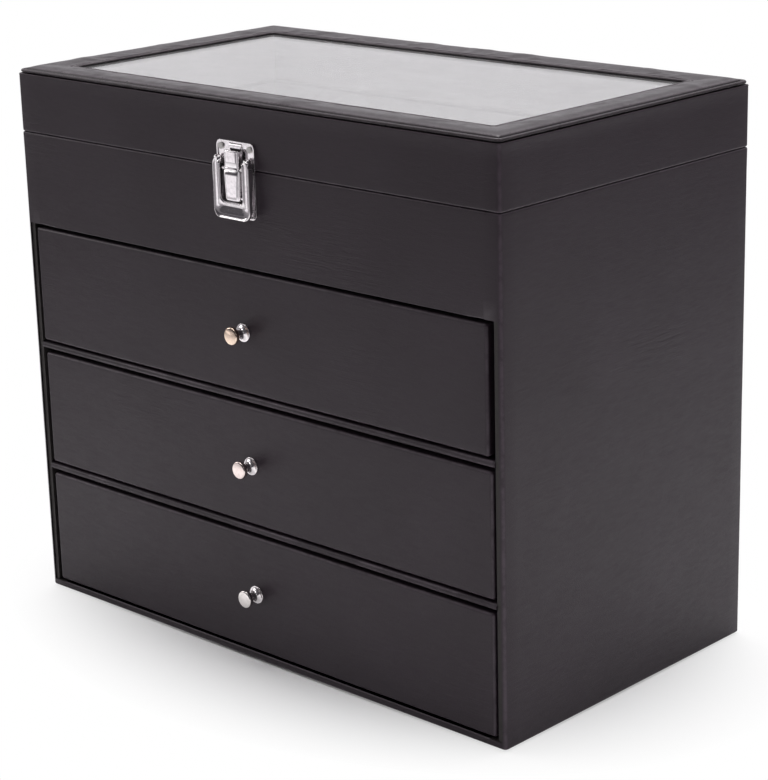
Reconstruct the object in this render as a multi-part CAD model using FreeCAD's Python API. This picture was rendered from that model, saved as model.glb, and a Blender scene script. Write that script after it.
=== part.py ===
import FreeCAD, Part
import math
import os

# Pen collector chest: a leather-wrapped wooden case with a glass-topped lid, a
# top compartment, three drawers with grooved pen trays, a draw latch in front
# and two butt hinges behind.
#
# Millimetres. +X is to the right as seen from the front, +Y is to the rear and
# +Z is up. The origin is the centre of the underside.

Vector = FreeCAD.Vector
X_AXIS = Vector(1, 0, 0)
Y_AXIS = Vector(0, 1, 0)
Z_AXIS = Vector(0, 0, 1)

# ---------------------------------------------------------------- driving sizes

# case
case_width = 344.0
case_depth = 194.0
leather = 0.7
side_board = 4.3
back_board = 5.8
fascia_board = 5.8
base_board = 3.5
shelf_board = 3.5
compartment_floor_board = 4.2
foot_felt = 0.8
foot_felt_margin = 2.0
bay_count = 3
bay_height = 68.0
fascia_height = 50.7
case_corner_radius = 2.0
leather_edge_bevel = 0.5
shelf_nose_radius = 1.6
velvet = 1.0

# lid
lid_gap = 0.3
lid_side_height = 31.7
lid_board = 5.8
window_board = 4.0
window_border = 22.5
glass_thickness = 3.0
glass_overlap = 5.0
glass_above_board = 1.4
glass_side_gap = 0.3

# stuffed leather pad round the window: heights are above the lid's side walls
pad_inset = 0.4
pad_bead_height = 2.5
pad_bead_width = 4.2
pad_bead_foot_share = 0.3
pad_bead_top_share = 0.55
pad_bead_bulge = 0.45
pad_valley_bulge = 0.2
pad_seam_height = 1.9
pad_crown_height = 4.1
pad_inner_height = 3.6
pad_inner_radius = 0.9
pad_inner_bulge = 0.26
pad_corner_radius = 3.5
pad_arc_steps = 4
pad_crown_steps = 8

# drawers
drawer_side_gap = 2.0
drawer_top_gap = 2.2
drawer_front_foot_gap = 1.1
drawer_running_gap = 0.3
drawer_front_recess = 0.5
drawer_front_thickness = 8.0
drawer_front_edge_radius = 1.5
drawer_rear_gap = 3.5
drawer_side_board = 5.0
drawer_side_height = 52.0
drawer_back_board = 5.0
drawer_bottom_board = 3.0
drawer_bottom_lift = 1.2

# the uppermost drawer is a little narrower and hangs towards the left in its bay
top_drawer_shift = -1.5
top_drawer_trim = 1.4

# pen trays
tray_side_gap = 0.3
tray_thickness = 20.0
groove_pitch = 22.0
groove_radius = 9.5
groove_depth = 8.0
groove_lip_bevel = 1.0
groove_flat_count = 7

# knobs
knob_rose_radius = 4.85
knob_rose_rim = 1.1
knob_neck_radius = 2.2
knob_neck_length = 5.5
knob_throat_height = 2.2
knob_head_radius = 4.65
knob_head_thickness = 3.3
knob_head_edge = 1.1
knob_dish_depth = 0.35
knob_dish_rim = 0.5
knob_screw_radius = 1.5
knob_screw_depth = 7.0
knob_screw_head_radius = 3.2
knob_screw_head_height = 1.8
knob_screw_gap = 0.1

# draw latch: plates
latch_width = 27.0
latch_plate_thickness = 0.8
latch_corner_radius = 3.0
latch_rim_width = 0.8
latch_rim_height = 0.5
latch_plate_gap = 1.1
keeper_overhang = 1.1
keeper_plate_height = 14.8
base_plate_height = 22.9
catch_half_width = 4.0
catch_reach = 1.5
catch_thickness = 0.8
catch_height = 8.8
catch_slot_height = 3.3
ear_thickness = 0.8
ear_inner = 11.2
ear_foot_reach = 0.7
ear_foot_rise = 1.0
ear_waist_reach = 3.1
ear_lobe_radius = 1.6
ear_keeper_gap = 0.3

# draw latch: lever
lever_half_width = 13.0
lever_pivot_reach = 3.2
lever_pivot_height = 5.0
lever_top_rise = 1.3
lever_face_reach = 5.4
lever_sheet = 0.6
lever_bottom_drop = 30.0
lever_corner_radius = 4.5
lever_slot_half_width = 8.0
lever_slot_end_drop = 21.5
lever_slot_radius = 2.5
lever_shoulder_drop = 5.0
lever_shoulder_hollow = 0.7
lever_neck_half_width = 10.8
lever_neck_taper = 1.0
lever_wall_reach_top = 2.1
lever_wall_reach_bottom = 3.6
lever_wall_inset = 0.1
lever_cheek = 1.2
lever_cheek_rise = 0.6
lever_face_bevel = 0.4
thumb_dish_depth = 1.0
thumb_lip_reach = 0.5
thumb_arc_steps = 6

# draw latch: claw
claw_pin_drop = 4.5
claw_pin_reach = 3.4
claw_pin_radius = 0.7
claw_curl_radius = 1.5
claw_half_width = 5.2
claw_face_half_width = 3.65
claw_sheet = 0.6
claw_front_reach = 4.9
claw_bevel_reach = 3.9
claw_bevel_share = 0.7
claw_catch_gap = 0.15
claw_lift_gap = 0.3
claw_tongue_top_half_width = 6.0
claw_tongue_tip_half_width = 4.5
claw_tongue_length = 16.1

# pivots and screws
rivet_radius = 0.7
rivet_head_radius = 1.2
rivet_head_height = 0.4
pivot_gap = 0.15
plate_screw_head_radius = 1.7
plate_screw_head_height = 0.8
plate_screw_radius = 0.9
plate_screw_length = 5.5
plate_screw_gap = 0.1
keeper_screw_inset = 3.2
base_screw_half_spacing = 7.0
base_screw_height = 4.8

# hinges
hinge_side_distance = 72.0
hinge_length = 40.0
hinge_leaf_height = 16.0
hinge_leaf_thickness = 1.0
hinge_knuckle_count = 3
hinge_knuckle_radius = 2.2
hinge_pin_radius = 1.0
hinge_pin_gap = 0.12
hinge_knuckle_gap = 0.2
hinge_swing_gap = 0.3
hinge_screw_spacing = 22.0

# hidden screw shanks and their holes are drawn with flat sides, to keep facets few
shank_flat_count = 8

# how far a cutting shape reaches past what it cuts
overrun = 1.0

# -------------------------------------------------------------- derived places

half_width = case_width / 2
half_depth = case_depth / 2
front_y = -half_depth
back_y = half_depth
wall = leather + side_board
inner_half_width = half_width - wall
inner_front_y = front_y + leather + fascia_board
inner_back_y = back_y - leather - back_board

base_top = foot_felt + base_board
bay_step = bay_height + shelf_board
bays_top = base_top + bay_count * bay_height + (bay_count - 1) * shelf_board
case_top = bays_top + fascia_height
compartment_floor_top = bays_top + compartment_floor_board

lid_inner_half_width = half_width - leather - lid_board
lid_inner_half_depth = half_depth - leather - lid_board
lid_bottom = case_top + lid_gap
lid_seam = lid_bottom + lid_side_height
window_board_bottom = lid_seam - window_board
window_half_width = half_width - window_border
window_half_depth = half_depth - window_border
glass_half_width = window_half_width + glass_overlap
glass_half_depth = window_half_depth + glass_overlap
glass_top = lid_seam + glass_above_board
glass_bottom = glass_top - glass_thickness

catch_top = case_top + catch_height
pivot_z = case_top + lever_pivot_height
claw_pin_z = pivot_z - claw_pin_drop

hinge_axis_y = back_y + hinge_knuckle_radius + hinge_swing_gap
hinge_axis_z = case_top
hinge_centre = half_width - hinge_side_distance


# --------------------------------------------------------------------- helpers

def box(x_range, y_range, z_range):
    """Box from three (low, high) ranges."""
    size = [high - low for low, high in (x_range, y_range, z_range)]
    return Part.makeBox(*size, Vector(x_range[0], y_range[0], z_range[0]))


def rod(start, direction, radius, length):
    """Cylinder from a start point."""
    return Part.makeCylinder(radius, length, start, direction)


def shank(start, direction, radius, length):
    """Flat-sided rod along Y, whose corners stand at the radius."""
    corners = []
    for number in range(shank_flat_count):
        angle = 2 * math.pi * (number + 0.5) / shank_flat_count
        corners.append(start + X_AXIS * (radius * math.cos(angle))
                       + Z_AXIS * (radius * math.sin(angle)))
    return prism(corners, direction * length)


def shank_hole(start, direction, radius, gap, length):
    """Room for a shank, with the gap between their flats."""
    return shank(start, direction, radius + gap / math.cos(math.pi / shank_flat_count), length)


def lines(points, closed=True):
    """Straight edges through the points."""
    pairs = list(zip(points, points[1:]))
    if closed:
        pairs.append((points[-1], points[0]))
    return [Part.LineSegment(a, b).toShape() for a, b in pairs]


def prism(points, travel):
    """Polygon carried along a vector."""
    return Part.Face(Part.Wire(lines(points))).extrude(travel)


def slab(half_x, half_y, z_range, radius):
    """Upright prism centred on the origin with rounded corners."""
    shape = box((-half_x, half_x), (-half_y, half_y), z_range)
    upright = [e for e in shape.Edges if abs(e.tangentAt(e.FirstParameter).z) > 0.99]
    return shape.makeFillet(radius, upright)


def edges_where(shape, test):
    """Edges whose bounding box passes a test."""
    return [e for e in shape.Edges if test(e.BoundBox)]


def fused(shapes):
    """One solid out of several that touch."""
    result = shapes[0].fuse(shapes[1:]) if len(shapes) > 1 else shapes[0]
    return result.removeSplitter()


def cut_all(shape, tools):
    return shape.cut(tools) if tools else shape


def rounded_corner(centre, radius, first_angle, last_angle, steps):
    """(x, y) points along a round corner, from one angle to another in degrees."""
    points = []
    for step in range(steps + 1):
        angle = math.radians(first_angle + (last_angle - first_angle) * step / steps)
        points.append((centre[0] + radius * math.cos(angle), centre[1] + radius * math.sin(angle)))
    return points


def mirror_x(shape):
    """Copy on the other side of the centre plane."""
    return shape.mirror(Vector(0, 0, 0), X_AXIS)


def out(reach):
    """Y of a point that stands out from the front face by a reach."""
    return front_y - reach


def side_profile(points, x_range):
    """Profile given as (reach, z) pairs, carried along X."""
    corners = [Vector(x_range[0], out(reach), z) for reach, z in points]
    return prism(corners, Vector(x_range[1] - x_range[0], 0, 0))


def save(name, shape):
    shape.exportStep(os.path.join("parts", name + ".step"))


# ------------------------------------------------------------------ wood screws

def plate_screw(head_base, direction):
    """Wood screw: the head stands on head_base, the shank points along direction."""
    head = rod(head_base - direction * plate_screw_head_height, direction,
               plate_screw_head_radius, plate_screw_head_height)
    return fused([head, shank(head_base, direction, plate_screw_radius, plate_screw_length)])


def plate_screw_hole(head_base, direction):
    start = head_base - direction * plate_screw_head_height
    length = plate_screw_head_height + plate_screw_length + plate_screw_gap
    return shank_hole(start, direction, plate_screw_radius, plate_screw_gap, length)


def keeper_screw_seats():
    """Points on the keeper plate's face where its screw heads stand."""
    half_spacing = latch_width / 2 - keeper_screw_inset
    z = lid_bottom - keeper_overhang + keeper_plate_height - keeper_screw_inset
    y = out(latch_plate_thickness)
    return [Vector(side * half_spacing, y, z) for side in (-1, 1)]


def base_screw_seats():
    z = base_plate_bottom() + base_screw_height
    y = out(latch_plate_thickness)
    return [Vector(side * base_screw_half_spacing, y, z) for side in (-1, 1)]


def hinge_screw_seats(height_sign):
    """Points on the hinge leaves' outer faces: -1 for the case leaves, +1 for the lid's."""
    y = back_y + hinge_leaf_thickness
    z = hinge_axis_z + height_sign * (hinge_leaf_height + hinge_knuckle_radius) / 2
    seats = []
    for centre in (-hinge_centre, hinge_centre):
        for side in (-1, 1):
            seats.append(Vector(centre + side * hinge_screw_spacing / 2, y, z))
    return seats


def front_screw_holes(seats):
    return [plate_screw_hole(seat, Y_AXIS) for seat in seats]


def back_screw_holes(seats):
    return [plate_screw_hole(seat, Y_AXIS * -1) for seat in seats]


# ------------------------------------------------------------------------ case

def bay_floor(index):
    """Top of the board that drawer bay number index (0 lowest) stands on."""
    return base_top + index * bay_step


def make_case():
    board_half_width = half_width - leather
    board_half_depth = half_depth - leather
    board_top = case_top - leather
    core = slab(board_half_width, board_half_depth, (foot_felt, board_top), case_corner_radius)
    back_holes = back_screw_holes(hinge_screw_seats(-1))
    front_holes = front_screw_holes(base_screw_seats())

    side_box = box((inner_half_width, board_half_width),
                   (-board_half_depth, board_half_depth), (foot_felt, board_top))
    right = core.common(side_box)
    save("case_side_right", right)
    save("case_side_left", mirror_x(right))

    inner_x = (-inner_half_width, inner_half_width)
    back = box(inner_x, (inner_back_y, board_half_depth), (foot_felt, board_top))
    save("case_back", cut_all(back, back_holes))

    base = box(inner_x, (-board_half_depth, inner_back_y), (foot_felt, base_top))
    save("case_base", base)

    fascia = box(inner_x, (-board_half_depth, inner_front_y), (bays_top, board_top))
    save("case_fascia", cut_all(fascia, front_holes))

    floor = box(inner_x, (inner_front_y, inner_back_y), (bays_top, compartment_floor_top))
    save("compartment_floor", floor)

    for index, name in ((1, "drawer_shelf_lower"), (2, "drawer_shelf_upper")):
        top = bay_floor(index)
        shelf = box(inner_x, (front_y, inner_back_y), (top - shelf_board, top))
        nose = edges_where(shelf, lambda b: b.YMax < front_y + 0.01 and b.XLength > case_width / 2)
        save(name, shelf.makeFillet(shelf_nose_radius, nose))

    # one wrapped skin: outside, front edges and rim, open at the drawer bays
    skin = slab(half_width, half_depth, (foot_felt, case_top), case_corner_radius)
    skin = skin.makeChamfer(leather_edge_bevel, edges_where(
        skin, lambda b: b.ZMin > case_top - 0.01 or b.ZMax < foot_felt + 0.01))
    inner_core = slab(board_half_width, board_half_depth, (foot_felt - leather, board_top),
                      case_corner_radius - leather)
    well = box(inner_x, (inner_front_y, inner_back_y), (board_top - leather, case_top + leather))
    bays = box(inner_x, (front_y - leather, 0), (base_top, bays_top))
    skin = cut_all(skin, [inner_core, well, bays] + back_holes + front_holes)
    save("case_leather", skin)

    lining_z = (compartment_floor_top, board_top - leather)
    lining = box(inner_x, (inner_front_y, inner_back_y), lining_z)
    room = box((-inner_half_width + velvet, inner_half_width - velvet),
               (inner_front_y + velvet, inner_back_y - velvet), (bays_top, case_top))
    save("compartment_lining", lining.cut(room))

    save("base_felt", slab(half_width - foot_felt_margin, half_depth - foot_felt_margin,
                           (0, foot_felt), case_corner_radius))


# ------------------------------------------------------------------- pen trays

def pen_tray(half_x, y_range, z_bottom):
    """Velvet-covered tray whose grooves run from front to back."""
    top = z_bottom + tray_thickness
    y = y_range[0]
    count = int((2 * half_x - 2 * groove_lip_bevel) // groove_pitch)
    # the groove's circle is centred above the tray's top plane
    rise = groove_radius - groove_depth
    tilt = math.degrees(math.asin(rise / groove_radius))
    section = [(-half_x, z_bottom), (-half_x, top)]
    for number in range(count):
        centre = (number - (count - 1) / 2) * groove_pitch
        section += rounded_corner((centre, top + rise), groove_radius,
                                  180 + tilt, 360 - tilt, groove_flat_count)
    section += [(half_x, top), (half_x, z_bottom)]
    tray = prism([Vector(x, y, z) for x, z in section], Vector(0, y_range[1] - y, 0))
    lips = edges_where(tray, lambda b: b.ZMin > top - 0.01 and b.ZLength < 0.01
                       and b.YLength > (y_range[1] - y) / 2)
    return tray.makeChamfer(groove_lip_bevel, lips)


def make_top_tray():
    half_x = inner_half_width - velvet - tray_side_gap
    y_range = (inner_front_y + velvet + tray_side_gap, inner_back_y - velvet - tray_side_gap)
    save("top_pen_tray", pen_tray(half_x, y_range, compartment_floor_top))


# --------------------------------------------------------------------- drawers

def knob_solid(face, z):
    """Turned knob whose rose stands on the drawer front."""
    head_start = knob_rose_rim + knob_neck_length
    head_end = head_start + knob_head_thickness
    face_radius = knob_head_radius - knob_head_edge
    dish_radius = face_radius - knob_dish_rim

    # (radius, height) outline: rose, throat, neck, head with bevelled edges and dished face
    outline = [(0, 0), (knob_rose_radius, 0), (knob_rose_radius, knob_rose_rim),
               (knob_neck_radius, knob_rose_rim + knob_throat_height),
               (knob_neck_radius, head_start), (face_radius, head_start),
               (knob_head_radius, head_start + knob_head_edge),
               (knob_head_radius, head_end - knob_head_edge), (face_radius, head_end),
               (dish_radius, head_end), (dish_radius, head_end - knob_dish_depth),
               (0, head_end - knob_dish_depth)]
    section = [Vector(radius, 0, height) for radius, height in outline]
    knob = Part.Face(Part.Wire(lines(section))).revolve(Vector(0, 0, 0), Z_AXIS, 360)

    # lay the turning axis level, pointing out of the front
    knob.rotate(Vector(0, 0, 0), X_AXIS, 90)
    knob.translate(Vector(0, face, z))
    bore = shank_hole(Vector(0, face + overrun, z), Y_AXIS * -1, knob_screw_radius,
                      knob_screw_gap, overrun + knob_screw_depth + knob_screw_gap)
    return knob.cut(bore)


def make_drawer(index, name):
    uppermost = index == bay_count - 1
    shift = top_drawer_shift if uppermost else 0.0
    trim = top_drawer_trim if uppermost else 0.0
    floor = bay_floor(index)
    half_front = inner_half_width - drawer_side_gap - trim / 2
    front_face = front_y + drawer_front_recess
    front_back = front_face + drawer_front_thickness
    rear = inner_back_y - drawer_rear_gap
    side_foot = floor + drawer_running_gap
    side_top = side_foot + drawer_side_height
    front_z = (floor + drawer_front_foot_gap, floor + bay_height - drawer_top_gap)
    inner_half = half_front - drawer_side_board
    back_front = rear - drawer_back_board
    bottom_z = (side_foot + drawer_bottom_lift,
                side_foot + drawer_bottom_lift + drawer_bottom_board)
    knob_z = sum(front_z) / 2

    def place(node, shape):
        shape.translate(Vector(shift, 0, 0))
        save(name + "_" + node, shape)

    front = box((-half_front, half_front), (front_face, front_back), front_z)
    rim = edges_where(front, lambda b: b.YMax < front_face + 0.01)
    front = front.makeFillet(drawer_front_edge_radius, rim)
    hole = shank_hole(Vector(0, front_face - overrun, knob_z), Y_AXIS, knob_screw_radius,
                      knob_screw_gap, drawer_front_thickness + 2 * overrun)
    place("front", front.cut(hole))

    side = box((inner_half, half_front), (front_back, rear), (side_foot, side_top))
    top_edges = edges_where(side, lambda b: b.ZMin > side_top - 0.01 and b.YLength > case_depth / 2)
    side = side.makeFillet(drawer_front_edge_radius, top_edges)
    left = mirror_x(side)
    place("side_right", side)
    place("side_left", left)

    back = box((-inner_half, inner_half), (back_front, rear), (side_foot, side_top))
    place("back", back)

    bottom = box((-inner_half, inner_half), (front_back, back_front), bottom_z)
    place("bottom", bottom)

    tray_y = (front_back + tray_side_gap, back_front - tray_side_gap)
    place("pen_tray", pen_tray(inner_half - tray_side_gap, tray_y, bottom_z[1]))

    place("knob", knob_solid(front_face, knob_z))

    # machine screw: its head bears on the back of the front board
    seat = Vector(0, front_back, knob_z)
    head = rod(seat, Y_AXIS, knob_screw_head_radius, knob_screw_head_height)
    thread = shank(seat, Y_AXIS * -1, knob_screw_radius, drawer_front_thickness + knob_screw_depth)
    place("knob_screw", fused([head, thread]))


# ------------------------------------------------------------------------- lid

def mitred_side(profile, half_run, half_across):
    """One side of a frame: (inset, z) profile along X at the front, mitred at both ends."""
    points = [Vector(-half_run, -half_across + inset, z) for inset, z in profile]
    reach = max(inset for inset, _ in profile)
    bar = prism(points, Vector(2 * half_run, 0, 0))
    reach += overrun
    low = min(z for _, z in profile) - overrun
    high = max(z for _, z in profile) + overrun
    mitre = [Vector(-half_run, -half_across, low), Vector(half_run, -half_across, low),
             Vector(half_run - reach, -half_across + reach, low),
             Vector(-half_run + reach, -half_across + reach, low)]
    return bar.common(prism(mitre, Vector(0, 0, high - low)))


def frame_sides(profile, half_x, half_y):
    """Front, back, left and right pieces of a mitred frame."""
    front = mitred_side(profile, half_x, half_y)
    back = front.mirror(Vector(0, 0, 0), Y_AXIS)
    left = mitred_side(profile, half_y, half_x)
    left.rotate(Vector(0, 0, 0), Z_AXIS, -90)
    return {"front": front, "back": back, "left": left, "right": mirror_x(left)}


def arc_points(start, end, bulge, count):
    """Points after start on a shallow arc that rises by bulge at mid span."""
    points = []
    for step in range(1, count + 1):
        t = step / count
        lift = 4 * bulge * t * (1 - t)
        points.append((start[0] + (end[0] - start[0]) * t,
                       start[1] + (end[1] - start[1]) * t + lift))
    return points


def pad_profile():
    """(inset, z) section of the stuffed pad: bead, sewn valley, crown, inner roll."""
    seam = lid_seam
    bead_foot = (pad_inset, seam + pad_bead_height * pad_bead_foot_share)
    bead_top = (pad_bead_width * pad_bead_top_share, seam + pad_bead_height)
    valley = (pad_bead_width + pad_inset, seam + pad_seam_height)
    inner_top = (window_border - pad_inner_radius, seam + pad_inner_height)
    inner_side = (window_border, seam + pad_inner_height - pad_inner_radius)
    crown_rise = pad_crown_height - (pad_seam_height + pad_inner_height) / 2
    step_out = window_border - glass_overlap - glass_side_gap
    section = [(pad_inset, seam), bead_foot]
    section += arc_points(bead_foot, bead_top, pad_bead_bulge, pad_arc_steps)
    section += arc_points(bead_top, valley, pad_valley_bulge, pad_arc_steps)
    section += arc_points(valley, inner_top, crown_rise, pad_crown_steps)
    section += arc_points(inner_top, inner_side, pad_inner_bulge, pad_arc_steps)
    section += [(window_border, glass_top), (step_out, glass_top), (step_out, seam)]
    return section


def make_lid():
    board_half_width = half_width - leather
    board_half_depth = half_depth - leather
    front_holes = front_screw_holes(keeper_screw_seats())
    back_holes = back_screw_holes(hinge_screw_seats(1))
    rounded = slab(board_half_width, board_half_depth, (lid_bottom, lid_seam), case_corner_radius)

    rail_section = [(0, lid_bottom + leather), (lid_board, lid_bottom + leather),
                    (lid_board, window_board_bottom), (0, window_board_bottom)]
    rails = frame_sides(rail_section, board_half_width, board_half_depth)
    holes = {"front": front_holes, "back": back_holes}
    for side, rail in rails.items():
        save("lid_rail_" + side, cut_all(rail.common(rounded), holes.get(side, [])))

    board = slab(board_half_width, board_half_depth, (window_board_bottom, lid_seam),
                 case_corner_radius)
    window = box((-window_half_width, window_half_width), (-window_half_depth, window_half_depth),
                 (window_board_bottom - 2 * velvet, lid_seam + overrun))
    seat_x = glass_half_width + glass_side_gap
    seat_y = glass_half_depth + glass_side_gap
    rebate = box((-seat_x, seat_x), (-seat_y, seat_y), (glass_bottom, lid_seam + overrun))
    save("lid_window_board", cut_all(board, [window, rebate]))

    save("lid_glass", box((-glass_half_width, glass_half_width),
                          (-glass_half_depth, glass_half_depth), (glass_bottom, glass_top)))

    skin = slab(half_width, half_depth, (lid_bottom, lid_seam), case_corner_radius)
    skin = skin.makeChamfer(leather_edge_bevel, edges_where(
        skin, lambda b: b.ZMin > lid_seam - 0.01 or b.ZMax < lid_bottom + 0.01))
    inner_core = slab(board_half_width, board_half_depth,
                      (lid_bottom + leather, lid_seam + leather), case_corner_radius - leather)
    inner_x = (-lid_inner_half_width, lid_inner_half_width)
    inner_y = (-lid_inner_half_depth, lid_inner_half_depth)
    well = box(inner_x, inner_y, (lid_bottom - leather, lid_bottom + 2 * leather))
    save("lid_leather", cut_all(skin, [inner_core, well] + front_holes + back_holes))

    lining = box(inner_x, inner_y, (lid_bottom + leather, window_board_bottom))
    room = box((inner_x[0] + velvet, inner_x[1] - velvet), (inner_y[0] + velvet, inner_y[1] - velvet),
               (lid_bottom, window_board_bottom - velvet))
    save("lid_lining", cut_all(lining, [room, window]))

    sides = frame_sides(pad_profile(), half_width, half_depth)
    pad = fused(list(sides.values()))
    trim = slab(half_width - pad_inset, half_depth - pad_inset,
                (lid_seam - overrun, lid_seam + 2 * pad_crown_height), pad_corner_radius)
    save("lid_top_pad", pad.common(trim))


# ----------------------------------------------------------------------- latch

def base_plate_top():
    return lid_bottom - keeper_overhang - latch_plate_gap


def base_plate_bottom():
    return base_plate_top() - base_plate_height


def rimmed_plate(z_low, z_high, round_top):
    """Pressed plate with a raised rim on three sides and two rounded corners."""
    half = latch_width / 2
    full = latch_plate_thickness + latch_rim_height
    plate = box((-half, half), (out(full), front_y), (z_low, z_high))
    round_z = z_high if round_top else z_low
    corners = edges_where(plate, lambda b: b.YLength > full / 2 and abs(b.ZMin - round_z) < 0.01)
    plate = plate.makeFillet(latch_corner_radius, corners)
    inner_low = z_low - overrun if round_top else z_low + latch_rim_width
    inner_high = z_high - latch_rim_width if round_top else z_high + overrun
    inset = half - latch_rim_width
    pan = box((-inset, inset), (out(full + overrun), out(latch_plate_thickness)),
              (inner_low, inner_high))
    pan_round = inner_high if round_top else inner_low
    corners = edges_where(pan, lambda b: b.YLength > overrun and abs(b.ZMin - pan_round) < 0.01)
    pan = pan.makeFillet(latch_corner_radius - latch_rim_width, corners)
    return plate.cut(pan)


def make_keeper():
    z_low = lid_bottom - keeper_overhang
    plate = rimmed_plate(z_low, z_low + keeper_plate_height, round_top=True)
    # the catch is a tongue punched out of the plate, so a slot is left above it
    slot = box((-catch_half_width, catch_half_width), (out(latch_plate_thickness), front_y),
               (catch_top + claw_lift_gap, catch_top + claw_lift_gap + catch_slot_height))
    catch_reach_end = latch_plate_thickness + catch_reach
    catch = box((-catch_half_width, catch_half_width), (out(catch_reach_end), front_y),
                (catch_top - catch_thickness, catch_top))
    plate = fused([plate.cut(slot), catch])
    holes = front_screw_holes(keeper_screw_seats())
    save("latch_keeper_plate", cut_all(plate, holes))


def make_base_plate():
    z_low = base_plate_bottom()
    z_high = base_plate_top()
    plate = rimmed_plate(z_low, z_high, round_top=False)
    keeper_clear = latch_plate_thickness + ear_keeper_gap
    ear_foot = z_low + latch_rim_width + ear_foot_rise
    waist_z = pivot_z - lever_shoulder_drop
    outline = [(0, ear_foot), (latch_plate_thickness + ear_foot_reach, ear_foot),
               (latch_plate_thickness + ear_waist_reach, waist_z),
               (lever_pivot_reach + ear_lobe_radius, pivot_z),
               (lever_pivot_reach - ear_lobe_radius, pivot_z),
               (keeper_clear, waist_z), (keeper_clear, z_high), (0, z_high)]
    blade = side_profile(outline, (ear_inner, ear_inner + ear_thickness))
    lobe = rod(Vector(ear_inner, out(lever_pivot_reach), pivot_z), X_AXIS,
               ear_lobe_radius, ear_thickness)
    bore = rod(Vector(ear_inner - overrun, out(lever_pivot_reach), pivot_z), X_AXIS,
               rivet_radius, ear_thickness + 2 * overrun)
    ear = fused([blade, lobe]).cut(bore)
    plate = fused([plate, ear, mirror_x(ear)])
    save("latch_base_plate", cut_all(plate, front_screw_holes(base_screw_seats())))


def make_lever_rivets():
    """Two short rivets, fast in the ears, on which the lever's cheeks turn."""
    inner_end = lever_neck_half_width - lever_cheek - pivot_gap
    outer_end = ear_inner + ear_thickness
    centre = Vector(inner_end, out(lever_pivot_reach), pivot_z)
    body = rod(centre, X_AXIS, rivet_radius, outer_end - inner_end)
    head = rod(centre + X_AXIS * (outer_end - inner_end), X_AXIS,
               rivet_head_radius, rivet_head_height)
    rivet = fused([body, head])
    save("latch_lever_rivets", Part.makeCompound([rivet, mirror_x(rivet)]))


def lever_outline():
    """Edges of the lever's face seen from the front: a loop open at the top."""
    top = pivot_z + lever_top_rise
    bottom = pivot_z - lever_bottom_drop
    shoulder = pivot_z - lever_shoulder_drop
    neck = pivot_z - ear_lobe_radius - pivot_gap
    slot_end = pivot_z - lever_slot_end_drop
    y = out(lever_face_reach)
    corner = lever_corner_radius * (1 - math.sqrt(0.5))
    slot_corner = lever_slot_radius * (1 - math.sqrt(0.5))
    neck_top = lever_neck_half_width - lever_neck_taper

    def at(x, z):
        return Vector(x, y, z)

    def half(side):
        outer = side * lever_half_width
        inner = side * lever_slot_half_width
        hollow_x = side * (lever_half_width - lever_shoulder_hollow)
        mid_shoulder = at(hollow_x, (shoulder + 2 * neck) / 3)
        edges = [
            Part.LineSegment(at(0, bottom), at(outer - side * lever_corner_radius, bottom)),
            Part.Arc(at(outer - side * lever_corner_radius, bottom),
                     at(outer - side * corner, bottom + corner),
                     at(outer, bottom + lever_corner_radius)),
            Part.LineSegment(at(outer, bottom + lever_corner_radius), at(outer, shoulder)),
            Part.Arc(at(outer, shoulder), mid_shoulder, at(side * lever_neck_half_width, neck)),
            Part.LineSegment(at(side * lever_neck_half_width, neck), at(side * neck_top, top)),
            Part.LineSegment(at(side * neck_top, top), at(inner, top)),
            Part.LineSegment(at(inner, top), at(inner, slot_end + lever_slot_radius)),
            Part.Arc(at(inner, slot_end + lever_slot_radius),
                     at(inner - side * slot_corner, slot_end + slot_corner),
                     at(inner - side * lever_slot_radius, slot_end)),
            Part.LineSegment(at(inner - side * lever_slot_radius, slot_end), at(0, slot_end)),
        ]
        return [edge.toShape() for edge in edges]

    return half(1) + half(-1)


def thumb_section():
    """(reach, z) section of the dished thumb tab at the lever's foot."""
    slot_end = pivot_z - lever_slot_end_drop
    bottom = pivot_z - lever_bottom_drop
    front = [(lever_face_reach, slot_end + lever_sheet)]
    front += [(lever_face_reach, slot_end)]
    lip = (lever_face_reach + thumb_lip_reach, bottom)
    front += arc_points_reach((lever_face_reach, slot_end), lip, -thumb_dish_depth,
                              thumb_arc_steps)
    back = [(reach - lever_sheet, z) for reach, z in reversed(front)]
    return front + back


def arc_points_reach(start, end, bulge, count):
    """Like arc_points, with the bulge in the reach and not in z."""
    swapped = arc_points((start[1], start[0]), (end[1], end[0]), bulge, count)
    return [(reach, z) for z, reach in swapped]


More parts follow.
